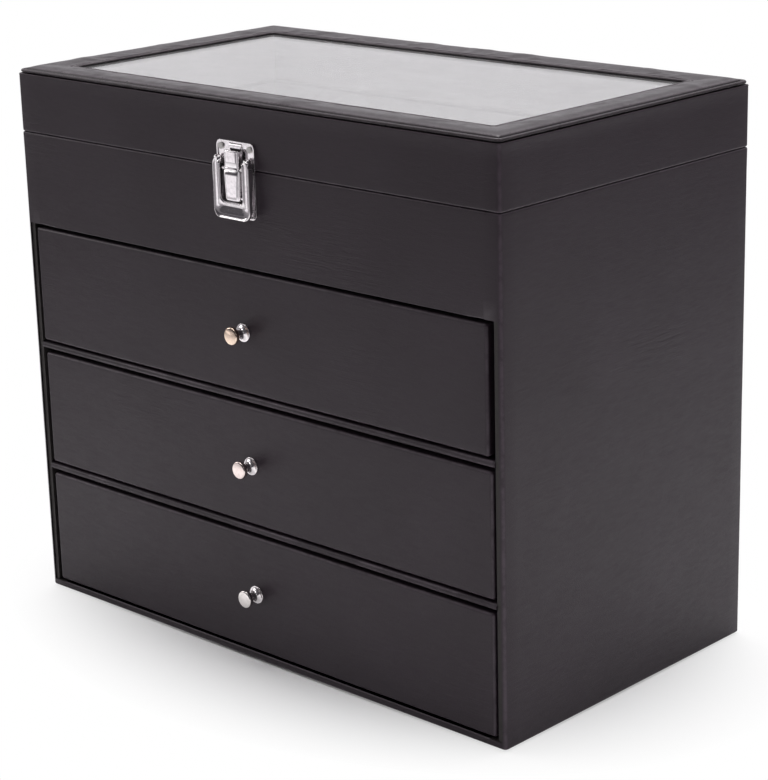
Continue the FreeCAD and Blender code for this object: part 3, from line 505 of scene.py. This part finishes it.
def turned_opening(mesh, half, low_z, high_z, front_y, depth, edge):
    """Cuts a rectangle out of the front wall and turns the leather inwards round it."""
    work = bmesh.new()
    work.from_mesh(mesh)
    near = front_y + 1.0 * MM
    tiny = 0.05 * MM

    def within(p, slack):
        return p.y < near and abs(p.x) < half + slack and low_z - slack < p.z < high_z + slack

    cut = [f for f in work.faces if within(f.calc_center_median(), -tiny)]
    bmesh.ops.delete(work, geom=cut, context="FACES")
    rim = [e for e in work.edges if e.is_boundary and all(within(v.co, tiny) for v in e.verts)]
    made = bmesh.ops.extrude_edge_only(work, edges=rim)["geom"]
    for part in made:
        if isinstance(part, bmesh.types.BMVert):
            part.co.y = front_y + depth
    bmesh.ops.bevel(work, geom=rim, offset=edge, offset_type="OFFSET", segments=3,
                    profile=0.5, affect="EDGES")
    bmesh.ops.recalc_face_normals(work, faces=work.faces)
    work.to_mesh(mesh)
    work.free()
    mesh.update()


def build_case_skin():
    low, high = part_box("case_leather")
    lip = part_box("compartment_lining")[1]
    bay_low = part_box("case_base")[1].z
    bay_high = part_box("compartment_floor")[0].z
    edge = 0.9 * MM
    inset = high.y - lip.y
    profile = [(3.2 * MM, low.z), (1.2 * MM, low.z)]
    profile += round_turn((0.8 * MM, low.z + 0.8 * MM), 0.8 * MM, 270, 180, 3)
    levels = [low.z + 1.6 * MM, *spaced(bay_low, bay_high, 9 * MM),
              *spaced(bay_high, high.z - edge - 0.7 * MM, 9 * MM)[1:]]
    profile += [(0.0, z) for z in levels]
    profile += round_turn((edge, high.z - edge), edge, 180, 90, 4)
    profile += round_turn((inset - edge, high.z - edge), edge, 90, 0, 4)
    profile += [(inset, high.z - 2.4 * MM)]
    vertices, faces = ring(profile, high.x, high.y, 2.2 * MM, 8.5 * MM, closed=False,
                           wave=uneven(high.x, high.y, 0.10 * MM, 0.06), mark=lip.x)
    for v in vertices:
        within = min(high.x - abs(v.x), high.y - abs(v.y))
        if v.z > high.z - 3 * MM and within > 0.2 * MM:
            v.x *= 1 + min(1.0, within / inset) * (inset + lip.x - high.x) / lip.x
    piece = make_piece("case_skin", vertices, faces, case_hide, "case", ("case_leather",),
                       "leather")
    turned_opening(piece.data, lip.x, bay_low, bay_high, low.y, 6.2 * MM, 0.8 * MM)
    piece.data.shade_smooth()
    piece.data.attributes.remove(piece.data.attributes["edge_wear_highlight"])
    mark_wear_highlight(piece.data)


build_case_skin()
for shelf in ("drawer_shelf_lower", "drawer_shelf_upper"):
    low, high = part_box(shelf)
    nose = rounded_box(low, (high.x, low.y + 24 * MM, high.z), 1.6 * MM, 9 * MM, 4, 0.05 * MM)
    make_piece(shelf + "_nose", *nose, case_hide, "case", slot="leather")


# ----------------------------------------------------------------- lid leather

def build_lid_skin():
    low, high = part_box("lid_leather")
    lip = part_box("lid_lining")[1]
    edge = 0.9 * MM
    inset = high.x - lip.x
    profile = [(inset, low.z + 2.6 * MM)]
    profile += round_turn((inset - edge, low.z + edge), edge, 0, -90, 4)
    profile += round_turn((edge, low.z + edge), edge, 270, 180, 4)
    profile += [(0.0, z) for z in spaced(low.z + edge + 0.7 * MM, high.z - 1.0 * MM, 8 * MM)]
    # raw folded edge: a thin raised line along the top of the wall
    profile += [(-0.12 * MM, high.z - 0.55 * MM), (0.02 * MM, high.z - 0.02 * MM),
                (0.7 * MM, high.z), (3.0 * MM, high.z - 0.1 * MM)]
    vertices, faces = ring(profile, high.x, high.y, 2.2 * MM, 8.5 * MM, closed=False,
                           wave=uneven(high.x, high.y, 0.10 * MM, 0.05))
    make_piece("lid_skin", vertices, faces, case_hide, "lid", ("lid_leather",), "leather")


build_lid_skin()


# ------------------------------------------------------------------ stuffed pad

def build_pad():
    """Leather over foam round the window: rolled bead, sewn valley, stuffed crown."""
    low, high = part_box("lid_top_pad")
    pane_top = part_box("lid_glass")[1].z
    overhang = 0.3 * MM
    border = 22.1 * MM + overhang
    base = low.z
    top = high.z - base
    outline = [(2.1 * MM, 0.0), (1.8 * MM, 0.3 * MM)]
    # rolled bead, undercut below
    outline += round_turn((1.25 * MM, 1.4 * MM), 0.9 * MM, 250, 35, 10)
    outline += [(2.45 * MM, 1.45 * MM), (2.8 * MM, 1.0 * MM), (3.1 * MM, 1.2 * MM),
                (3.3 * MM, 2.2 * MM), (3.6 * MM, 2.8 * MM)]
    first, inner = 3.8 * MM, border - 3.0 * MM
    for k in range(1, 13):
        t = k / 12
        rise = 2.9 * MM + (top - 3.0 * MM) * math.sin(math.pi / 2 * min(1.0, t / 0.3))
        rise -= 1.15 * MM * max(0.0, (t - 0.3) / 0.7) ** 1.6
        outline.append((first + (inner - first) * t, rise))
    outline += [(border - 2.6 * MM, 2.55 * MM), (border - 2.3 * MM, 2.1 * MM),
                (border - 2.0 * MM, 2.35 * MM)]
    outline += round_turn((border - 1.0 * MM, top - 2.3 * MM), 0.95 * MM, 110, 0, 5)
    outline += [(border, pane_top - base + 0.05 * MM), (border - 5.0 * MM, 1.45 * MM),
                (border - 6.0 * MM, 0.0)]
    profile = [(inset, base + z) for inset, z in outline]
    half_x, half_y = high.x + overhang, high.y + overhang
    vertices, faces = ring(profile, half_x, half_y, 3.5 * MM, 3.2 * MM, steps=7)
    piece = make_piece("lid_pad", vertices, faces, pad_hide, "lid", ("lid_top_pad",), "leather")
    held = []
    for vertex in piece.data.vertices:
        inset = min(half_x - abs(vertex.co.x), half_y - abs(vertex.co.y))
        free = 5.0 * MM < inset < inner + 0.2 * MM and vertex.co.z > base + 1.9 * MM
        held.append(0.0 if free else 1.0)
    return piece, held


def stuff(piece, held, pressure, most):
    """Swells the free leather by cloth simulation, then keeps each point near its start."""
    start = [v.co.copy() for v in piece.data.vertices]
    group = piece.vertex_groups.new(name="sewn")
    for index, weight in enumerate(held):
        group.add([index], weight, "REPLACE")
    cloth = piece.modifiers.new("stuffing", "CLOTH")
    settings = cloth.settings
    settings.quality = 6
    settings.mass = 0.25
    settings.tension_stiffness = 12
    settings.compression_stiffness = 12
    settings.shear_stiffness = 6
    settings.bending_stiffness = 0.35
    settings.use_pressure = True
    settings.uniform_pressure_force = pressure
    settings.shrink_min = -0.012
    settings.shrink_max = -0.012
    settings.vertex_group_mass = "sewn"
    settings.effector_weights.gravity = 0
    cloth.collision_settings.use_collision = False
    scene = bpy.context.scene
    cloth.point_cache.frame_start = 1
    cloth.point_cache.frame_end = 20
    for number in range(1, 21):
        scene.frame_set(number)
    depsgraph = bpy.context.evaluated_depsgraph_get()
    shape = [v.co.copy() for v in piece.evaluated_get(depsgraph).data.vertices]
    piece.modifiers.remove(cloth)
    scene.frame_set(1)
    for vertex, before, after in zip(piece.data.vertices, start, shape):
        move = after - before
        if move.length > most:
            move = move.normalized() * most
        vertex.co = before + move
    piece.data.update()


def pucker(piece, seam_inset, reach, depth, pitch):
    """Small gathers that run from the stitches into the crown."""
    half_x = max(v.co.x for v in piece.data.vertices)
    half_y = max(v.co.y for v in piece.data.vertices)
    for vertex in piece.data.vertices:
        to_x, to_y = half_x - abs(vertex.co.x), half_y - abs(vertex.co.y)
        inset, along = (to_x, vertex.co.y) if to_x < to_y else (to_y, vertex.co.x)
        away = (inset - seam_inset) / reach
        if 0.0 < away < 1.0 and vertex.normal.z > 0.5:
            random = noise.noise(Vector((along / (pitch * 3), vertex.co.x * 9, vertex.co.y * 9)))
            wave = math.cos(2 * math.pi * along / pitch) * (0.55 + random)
            vertex.co.z += depth * wave * math.sin(math.pi * away) * (1 - away)
        if vertex.normal.z > 0.3:
            vertex.co.z += ripple(vertex.co, 0.07 * MM, 0.018)
    piece.data.update()


def stitches(name, half_x, half_y, z, pitch, length, thick, material, body):
    """Row of thread stitches, each a small tube that dips into the leather at its ends."""
    rings = [(-0.5, -1.0, 0.45), (-0.36, 0.1, 0.9), (0.0, 0.45, 1.0), (0.36, 0.1, 0.9),
             (0.5, -1.0, 0.45)]
    tubes = []
    for sx, sy, along_x in ((0, -1, True), (0, 1, True), (-1, 0, False), (1, 0, False)):
        run = (half_x if along_x else half_y) - 1.5 * MM
        count = int(2 * run / pitch)
        for k in range(count):
            centre = -run + (k + 0.5) * 2 * run / count
            loops = []
            for share, lift, size in rings:
                along = centre + share * length
                loops.append([])
                for c, s in circle(6):
                    side, up = c * thick / 2 * size, s * thick / 2 * size + lift * thick / 2
                    loops[-1].append((along, sy * half_y + side, z + up) if along_x
                                     else (sx * half_x + side, along, z + up))
            tubes.append(carried_loops(loops))
    return make_piece(name, *joined(*tubes), material, body, slot="leather")


pad, sewn = build_pad()
stuff(pad, sewn, 0.6, 0.3 * MM)
pucker(pad, 3.8 * MM, 6.0 * MM, 0.10 * MM, 3.4 * MM)
smooth = pad.modifiers.new("smooth", "SUBSURF")
smooth.levels = smooth.render_levels = 1
pad_low, pad_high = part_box("lid_top_pad")
stitches("pad_stitches", pad_high.x - 2.6 * MM, pad_high.y - 2.6 * MM, pad_low.z + 1.6 * MM,
         3.4 * MM, 2.6 * MM, 0.6 * MM, thread, "lid")


# ------------------------------------------------------------------- the window

low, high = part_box("lid_glass")
make_piece("window_pane", *rounded_box(low, high, 0.5 * MM, 40 * MM, 2), glass, "lid",
           ("lid_glass",), "glass")


# --------------------------------------------------------------------- drawers

def rose_profile(rose, height):
    """(radius, height) outline of the knob's rose and stem, in mm above the drawer's face."""
    points = [(0.0, 0.0), (rose - 0.1, 0.0)]
    points += round_turn((rose - 0.35, 0.45), 0.35, -30, 90, 4)
    points += [(rose - 0.9, 0.82), (rose - 1.25, 1.1), (3.0, 1.35), (2.5, 1.9), (2.28, 2.6),
               (2.2, 3.2), (2.2, height - 3.3), (0.0, height - 3.3)]
    return points


def head_profile(rose, height):
    """(radius, height) outline of the knob's dished back, rim and faintly convex face."""
    head = rose - 0.2
    points = [(2.2, height - 3.4), (2.5, height - 3.45), (head - 1.4, height - 3.3)]
    points += round_turn((head - 1.0, height - 2.3), 1.0, -90, 0, 5)
    points += round_turn((head - 0.7, height - 1.05), 0.7, 0, 76, 6)
    points += [(head - 0.9, height - 0.30), (2.4, height - 0.13), (1.2, height - 0.04),
               (0.0, height)]
    return [(0.0, height - 3.4), *points]


for name in DRAWERS:
    low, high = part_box(name + "_front")
    front = rounded_box(low, high, 1.7 * MM, 8 * MM, 4, 0.10 * MM, 0.055)
    make_piece(name + "_front_skin", *front, drawer_hide, name, (name + "_front",), "leather")
    knob_low, knob_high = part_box(name + "_knob")
    centre = (knob_low + knob_high) / 2
    sizes = ((knob_high.x - knob_low.x) / 2 / MM, (knob_high.y - knob_low.y) / MM)
    foot = (centre.x, knob_high.y, centre.z)
    make_piece(name + "_turned_knob", *lathe(head_profile(*sizes), foot), knob_metals[name],
               name, (name + "_knob",), "chrome")
    make_piece(name + "_knob_rose", *lathe(rose_profile(*sizes), foot), rose_metal, name,
               slot="chrome")


# ------------------------------------------------------------------- draw latch

def mirrored(shape):
    return [Vector((-v.x, v.y, v.z)) for v in shape[0]], shape[1]


def cheek(points, x_low, x_high, front_y):
    """Flat plate across X from (reach, z) corners."""
    loops = [[(x, front_y - reach, z) for reach, z in points] for x in (x_low, x_high)]
    return carried_loops(loops)


def lever_stations(low, high):
    """(outer, inner, wall foot, tab share, drop) down one limb and along half the tab."""
    stations = []
    half, slot = high.x, high.x - 5.0 * MM
    foot, slot_end, top = low.z, low.z + 8.5 * MM, high.z - 0.3 * MM
    shoulder = foot + 22.5 * MM

    def add(outer, inner, foot_reach, tab, drop=0.0):
        stations.append((outer, inner, foot_reach * MM, tab, drop))

    arch = 4.4 * MM
    for k in range(15):
        t = k / 14
        angle = math.radians(90 * t)
        turn = 1 - math.sqrt(1 - (1 - min(1.0, t * 1.6)) ** 2)
        add((half - arch * (1 - math.sin(angle)), top - arch * (1 - math.cos(angle))),
            (slot, top - 2.2 * MM - 2.4 * MM * t), 2.1, 0.0, 2.4 * turn)
    for k in range(1, 3):
        z = top - arch + (shoulder - top + arch) * k / 3
        add((half, z), (slot, z - 0.2 * MM * (1 - k / 3)), 2.1, 0.0)
    outer_turn, inner_turn = 4.5 * MM, 2.5 * MM
    for k in range(1, 15):
        t = k / 14
        outer_z = shoulder + (foot + outer_turn - shoulder) * t
        inner_z = shoulder + (slot_end + inner_turn - shoulder) * t
        add((half, outer_z), (slot, inner_z), 2.1 + 1.5 * t, 0.0)
    for k in range(1, 13):
        t = k / 12
        angle = math.radians(90 * t)
        c, d = math.cos(angle), math.sin(angle)
        add((half - outer_turn * (1 - c), foot + outer_turn * (1 - d)),
            (slot - inner_turn * (1 - c), slot_end + inner_turn * (1 - d)),
            3.6 + 0.9 * t, eased(t))
    for k in range(1, 9):
        t = k / 8
        add(((half - outer_turn) * (1 - t), foot), ((slot - inner_turn) * (1 - t), slot_end),
            4.5, 1.0)
    return stations


def eased(t):
    t = min(1.0, max(0.0, t))
    return t * t * (3 - 2 * t)


def limb_section(width, foot, tab, drop):
    """Closed (share across, reach) section of the pressed lever, in mm of reach."""
    wide = width / MM
    points = [(0.0, foot / MM), (0.0, 4.7), (0.05, 5.0), (0.2, 5.27), (0.45, 5.4)]
    face = []
    for k in range(13):
        u = k / 12
        at = 0.45 + (wide - 1.15) * u
        limb = 5.4 - 0.42 * math.sin(math.pi * u) ** 0.8
        dish = 5.9 - 0.6 * eased(u / 0.14) - 1.0 * eased((u - 0.1) / 0.9) + 0.35 * eased(
            (u - 0.84) / 0.16)
        face.append((at, limb + (dish - limb) * tab))
    points += [(at, reach) for at, reach in face[1:]]
    points[1:5] = [(at, reach + 0.45 * tab) for at, reach in points[1:5]]
    last = points[-1][1]
    points += [(wide - 0.45, last - 0.08), (wide - 0.2, last - 0.25), (wide - 0.05, last - 0.5),
               (wide, last - 0.8), (wide, foot / MM + (0.0 if tab < 1 else -0.1))]
    under = min(reach for _, reach in face) - 0.5
    points += [(wide - 0.5, foot / MM), (wide - 0.5, min(under, last - 0.9)),
               (wide * 0.5, under), (0.5, under), (0.5, foot / MM)]
    low = foot / MM + 0.1
    return [(at / wide, max(min(reach, low), reach - drop) * MM) for at, reach in points]


def build_lever(front_y):
    low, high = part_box("latch_lever")
    stations = lever_stations(low, high)
    loops = []
    for outer, inner, foot, tab, drop in stations:
        section = limb_section(math.dist(outer, inner), foot, tab, drop)
        loops.append([(outer[0] + (inner[0] - outer[0]) * t, front_y - reach,
                       outer[1] + (inner[1] - outer[1]) * t) for t, reach in section])
    loops += [[(-x, y, z) for x, y, z in loop] for loop in reversed(loops[:-1])]
    band = carried_loops(loops)
    pivot = high.z - 1.6 * MM
    plate = round_turn((3.2 * MM, pivot), 1.6 * MM, 60, 300, 12)
    plate += [(5.1 * MM, pivot - 1.7 * MM), (5.1 * MM, pivot + 1.0 * MM)]
    side = high.x - 2.2 * MM
    right = cheek(plate, side - 1.2 * MM, side, front_y)
    pin = pivot - 4.5 * MM
    boss = round_turn((3.4 * MM, pin), 1.5 * MM, 0, 345, 23)
    lug = cheek(boss, high.x - 5.0 * MM, high.x - 4.4 * MM, front_y)
    shape = joined(band, right, mirrored(right), lug, mirrored(lug))
    make_piece("pressed_lever", *shape, chrome, "latch_lever", ("latch_lever",), "chrome")


def claw_front(width, top, back):
    """Claw's front from its right rear edge to its left one: (x, reach) in mm."""
    step = width - 1.55
    half = [(width, back), (width, 3.55), (width - 0.06, 3.95), (width - 0.25, 4.25),
            (width - 0.55, 4.4), (width - 0.85, 4.42), (width - 1.1, 4.36),
            (width - 1.25, 4.42), (step + 0.12, top - 0.12), (step - 0.12, top - 0.02),
            (step - 0.4, top), (step * 0.4, top), (0.0, top)]
    return half + [(-x, reach) for x, reach in reversed(half[:-1])]


def build_claw(front_y):
    low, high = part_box("latch_claw")
    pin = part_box("latch_claw_pin")[0].z + 0.7 * MM
    flange = high.z - 0.6 * MM
    upper, wide, tip = 5.2, high.x / MM, 5.1
    stations = [(low.z, tip - 0.9, 4.55, 3.9), (low.z + 0.25 * MM, tip - 0.35, 4.8, 3.8),
                (low.z + 0.8 * MM, tip, 4.9, 3.75)]
    for k in range(1, 8):
        t = k / 8
        stations.append((low.z + 0.8 * MM + (pin - 2.4 * MM - low.z) * t,
                         tip + (wide - tip) * t, 4.9, 3.75 - 0.3 * t))
    stations += [(pin - 1.25 * MM, wide, 4.9, 3.4), (pin - 0.95 * MM, wide - 0.03, 4.62, 3.3),
                 (pin - 0.7 * MM, wide - 0.2, 4.55, 3.2), (pin - 0.35 * MM, upper + 0.3, 4.8, 3.0),
                 (pin + 0.05 * MM, upper + 0.1, 4.9, 2.8), (pin + 0.45 * MM, upper, 4.8, 2.6),
                 (pin + 0.75 * MM, upper, 4.58, 2.5), (pin + 1.0 * MM, upper, 4.64, 2.45),
                 (pin + 1.3 * MM, upper, 4.9, 2.45), (pin + 4.0 * MM, upper, 4.9, 2.45),
                 (flange, upper, 4.9, 2.45)]
    loops = []
    for z, width, top, back in stations:
        front = claw_front(width, top, back)
        inside = [(x * (1 - 0.55 / width), reach if reach == back else max(back, reach - 0.55))
                  for x, reach in reversed(front)]
        loops.append([(x * MM, front_y - reach * MM, z) for x, reach in front + inside])
    shell = carried_loops(loops)
    lid_loops = []
    for z, width, top in ((flange - 0.05 * MM, upper, 4.9), (high.z - 0.3 * MM, upper, 4.86),
                          (high.z - 0.08 * MM, upper - 0.1, 4.7), (high.z, upper - 0.35, 4.45)):
        lid_loops.append([(x * MM, front_y - reach * MM, z)
                          for x, reach in claw_front(width, top, 2.45)])
    curl = round_turn((3.4 * MM, pin), 1.45 * MM, 90, 270, 12)
    curl += [(4.3 * MM, pin - 1.2 * MM), (4.3 * MM, pin + 1.2 * MM)]
    barrel = cheek(curl, -upper * MM, upper * MM, front_y)
    shape = joined(shell, carried_loops(lid_loops), barrel)
    make_piece("hooked_claw", *shape, chrome, "latch_claw", ("latch_claw",), "chrome")


def build_keeper_tab(front_y):
    """Pressed tongue above the claw that its hook closes over."""
    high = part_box("latch_claw")[1].z
    loops = []
    for k in range(9):
        t = k / 8
        half = 4.55 - 0.5 * max(0.0, t - 0.6)
        reach = 0.75 + 1.5 * t ** 2.2
        z = high + 3.9 * MM - 2.9 * MM * t
        loops.append([(x * half * MM, front_y - (reach - (0 if y else 0.5)) * MM, z)
                      for x, y in ((-1, 1), (-0.9, 1), (0, 1), (0.9, 1), (1, 1),
                                   (1, 0), (0, 0), (-1, 0))])
    make_piece("keeper_tongue", *carried_loops(loops), chrome, "lid", slot="chrome")


latch_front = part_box("case_leather")[0].y
build_keeper_tab(latch_front)
build_lever(latch_front)
build_claw(latch_front)


# ------------------------------------------------------------------- pen trays

def tray_section(half, top, bottom):
    """(x, z) outline of a grooved tray with rounded lips, walked round the section."""
    pitch, radius, depth = 22.0 * MM, 9.5 * MM, 8.0 * MM
    count = int((2 * half - 2.0 * MM) // pitch)
    mouth = math.sqrt(radius ** 2 - (radius - depth) ** 2)
    lip = 1.1 * MM
    points = [(-half, bottom), (-half, top - 0.6 * MM), (-half + 0.6 * MM, top)]
    for k in range(count):
        centre = (k - (count - 1) / 2) * pitch
        points += [(centre - mouth - lip * 0.9, top),
                   (centre - mouth - lip * 0.35, top - lip * 0.2)]
        first = math.degrees(math.asin((radius - depth) / radius))
        points += round_turn((centre, top + radius - depth), radius, 180 + first + 8,
                             360 - first - 8, 14)
        points += [(centre + mouth + lip * 0.35, top - lip * 0.2),
                   (centre + mouth + lip * 0.9, top)]
    points += [(half - 0.6 * MM, top), (half, top - 0.6 * MM), (half, bottom)]
    return points


def build_tray(node, body):
    low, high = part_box(node)
    middle = (low.x + high.x) / 2
    section = tray_section((high.x - low.x) / 2, high.z, low.z)
    rows = [low.y, low.y + 0.5 * MM, *spaced(low.y + 1.5 * MM, high.y - 1.5 * MM, 24 * MM),
            high.y - 0.5 * MM, high.y]
    loops = []
    for number, y in enumerate(rows):
        drop = 0.4 * MM if number in (0, len(rows) - 1) else 0.0
        loops.append([(middle + x, y, z - (drop if z > low.z + MM else 0.0)) for x, z in section])
    make_piece(node + "_pile", *carried_loops(loops), pile, body, (node,), "velvet")


build_tray("top_pen_tray", "case")
for name in DRAWERS:
    build_tray(name + "_pen_tray", name)


# ----------------------------------------------------------------- domed screws

def screw_heads(name, node, axis_y, radius, material, body, spots, turns):
    """Domed heads with a cross recess, standing on a plate, over the CAD screws."""
    low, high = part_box(node)
    rise = 0.8 * MM
    seat = (low.y if axis_y < 0 else high.y) - axis_y * rise
    slot = 0.13 * radius
    rims = [0.0, 0.12, 0.24, 0.36, 0.48, 0.6, 0.74, 0.88, 1.0]
    heads = []
    for (x, z), turn in zip(spots, turns):
        ca, sa = math.cos(turn), math.sin(turn)
        loops = []
        for share in rims:
            dome = rise * math.sqrt(max(0.0, 1 - (share * 0.96) ** 2) + 0.0001)
            loops.append([])
            for c, s in circle(48):
                px, pz = share * radius * c, share * radius * s
                across = min(abs(px * ca + pz * sa), abs(pz * ca - px * sa))
                recess = 0.42 * MM * (1 - share * 0.7) if across < slot and share < 0.62 else 0.0
                loops[-1].append((x + px, seat + axis_y * (dome - recess), z + pz))
        skirt = [(px, seat - axis_y * 0.1 * MM, pz) for px, _, pz in loops[-1]]
        heads.append(carried_loops([*loops, skirt], first_cap=False))
    return make_piece(name, *joined(*heads), material, body, slot="steel")


def spots_of(node):
    """Centres of the separate round screws in a node, seen along Y."""
    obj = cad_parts[node]
    work = bmesh.new()
    work.from_mesh(obj.data)
    left = set(work.verts)
    found = []
    while left:
        stack = [left.pop()]
        island = []
        while stack:
            vertex = stack.pop()
            island.append(vertex.co.copy())
            for link in vertex.link_edges:
                other = link.other_vert(vertex)
                if other in left:
                    left.remove(other)
                    stack.append(other)
        xs, zs = [p.x for p in island], [p.z for p in island]
        if max(xs) - min(xs) > 2.5 * MM:
            found.append(((max(xs) + min(xs)) / 2, (max(zs) + min(zs)) / 2))
    work.free()
    merged = []
    for spot in sorted(found):
        if not merged or math.dist(spot, merged[-1]) > 1.0 * MM:
            merged.append(spot)
    return merged


for node, axis, material, body in (
        ("keeper_screws", -1, chrome_dished, "lid"),
        ("latch_base_screws", -1, chrome_dished, "case"),
        ("hinge_case_screws", 1, nickel, "case"),
        ("hinge_lid_screws", 1, nickel, "lid")):
    places = spots_of(node)
    turns = [0.35 + 1.1 * k for k in range(len(places))]
    screw_heads(node + "_heads", node, axis, 1.7 * MM, material, body, places, turns)


# ---------------------------------------------------------- materials on the CAD

def finish_of(name):
    if name.startswith("latch_"):
        return chrome
    if "screw" in name or name.startswith("hinge"):
        return nickel
    if name in ("compartment_lining", "lid_lining"):
        return lining
    if name == "base_felt":
        return base_felt
    if name.startswith("drawer_shelf"):
        return case_hide
    return board


for name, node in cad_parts.items():
    if node.hide_render:
        continue
    node.data.materials.clear()
    node.data.materials.append(finish_of(name))


# ------------------------------------------------------------- floor and light

def build_stage():
    """Pale floor, painted darker far out as shade and holding one painted pool of light, a
    background that the camera sees white, and a studio that is brightest behind and above the
    object."""
    n = Nodes("floor")
    place = n.place()
    far = n.vector_math("LENGTH", n.stretched(place, (1.0, 1.4, 1.0)))["Value"]
    # painted shade: the floor's colour darkens far from the object, as if out of the light
    falloff_distance = n.vector_math("DISTANCE", place, (0.08, 0.10, 0.0))["Value"]
    # painted pool of light: a pale disc far out in front, for the latch to mirror
    painted_pool_distance = n.vector_math("DISTANCE", place, (-0.92, -0.95, 0.0))["Value"]
    painted_falloff_shade = n.mix(n.grey_ramp(falloff_distance, 0.55, 1.15), rgb(0.96, 0.96, 0.96), rgb(0.32, 0.31, 0.32))
    colour = n.mix(n.grey_ramp(painted_pool_distance, 0.30, 0.34, 1.0, 0.0), painted_falloff_shade, rgb(0.96, 0.95, 0.96))
    paper = n.node("ShaderNodeBsdfDiffuse", Color=colour)
    white = n.node("ShaderNodeEmission", Color=rgb(1, 1, 1), Strength=1.0)
    n.surface(n.mix_shader(n.math("MULTIPLY", n.grey_ramp(far, 0.13, 0.25), n.seen_directly()),
                           paper.outputs[0], white.outputs[0]))
    mesh = bpy.data.meshes.new("floor")
    mesh.from_pydata([(-6, -6, -0.0002), (6, -6, -0.0002), (6, 6, -0.0002), (-6, 6, -0.0002)],
                     [], [(0, 1, 2, 3)])
    floor = bpy.data.objects.new("floor", mesh)
    mesh.materials.append(n.owner)
    bpy.context.scene.collection.objects.link(floor)

    n = Nodes("studio", bpy.data.worlds, "ShaderNodeOutputWorld")
    bpy.context.scene.world = n.owner
    direction = n.node("ShaderNodeTexCoord").outputs["Generated"]
    behind = n.vector_math("DOT_PRODUCT", direction, (-0.55, 0.60, 0.58))["Value"]
    walls = n.node("ShaderNodeValToRGB", Fac=behind)
    stops = walls.color_ramp.elements
    stops[0].position, stops[0].color = 0.05, rgb(0.08, 0.076, 0.083)
    stops[1].position, stops[1].color = 0.62, rgb(0.98, 0.955, 0.99)
    soft = n.node("ShaderNodeBackground", Color=walls.outputs["Color"], Strength=0.9)
    white = n.node("ShaderNodeBackground", Color=rgb(1, 1, 1), Strength=1.0)
    n.surface(n.mix_shader(n.seen_directly(), soft.outputs[0], white.outputs[0]))


def area_light(name, place, target, size, power, colour=(1, 1, 1)):
    data = bpy.data.lights.new(name, "AREA")
    data.shape = "RECTANGLE"
    data.size, data.size_y = size
    data.energy = power
    data.color = colour
    lamp = bpy.data.objects.new(name, data)
    bpy.context.scene.collection.objects.link(lamp)
    lamp.location = place
    lamp.rotation_mode = "QUATERNION"
    lamp.rotation_quaternion = (Vector(target) - Vector(place)).to_track_quat("-Z", "Y")


build_stage()
area_light("key", (-1.55, -0.85, 0.75), (-0.1, 0, 0.05), (0.8, 0.7), 4.5, (1.0, 0.985, 0.97))
area_light("fill", (1.5, 0.1, 1.1), (0, 0, 0.2), (0.8, 0.8), 2.6, (0.97, 0.98, 1.0))
area_light("top", (-0.1, 0.25, 1.8), (0, 0, 0.0), (1.3, 1.1), 27.0, (1.0, 0.995, 0.99))


# ---------------------------------------------------------------------- camera

def set_camera(place, right, down, ahead, lens):
    data = bpy.data.cameras.new("camera")
    data.lens = lens
    data.sensor_width = 36.0
    data.clip_start, data.clip_end = 0.01, 50.0
    camera = bpy.data.objects.new("camera", data)
    bpy.context.scene.collection.objects.link(camera)
    right, up, back = Vector(right), -Vector(down), -Vector(ahead)
    turn = Matrix((right, up, back)).transposed()
    camera.matrix_world = Matrix.Translation(Vector(place)) @ turn.to_4x4()
    bpy.context.scene.camera = camera


set_camera((0.8467, -0.8816, 0.4999), (0.7280, 0.68512, -0.02516),
           (0.18237, -0.2289, -0.95621), (-0.66088, 0.69153, -0.29159), 108.32)

bpy.context.scene.view_settings.view_transform = "Standard"
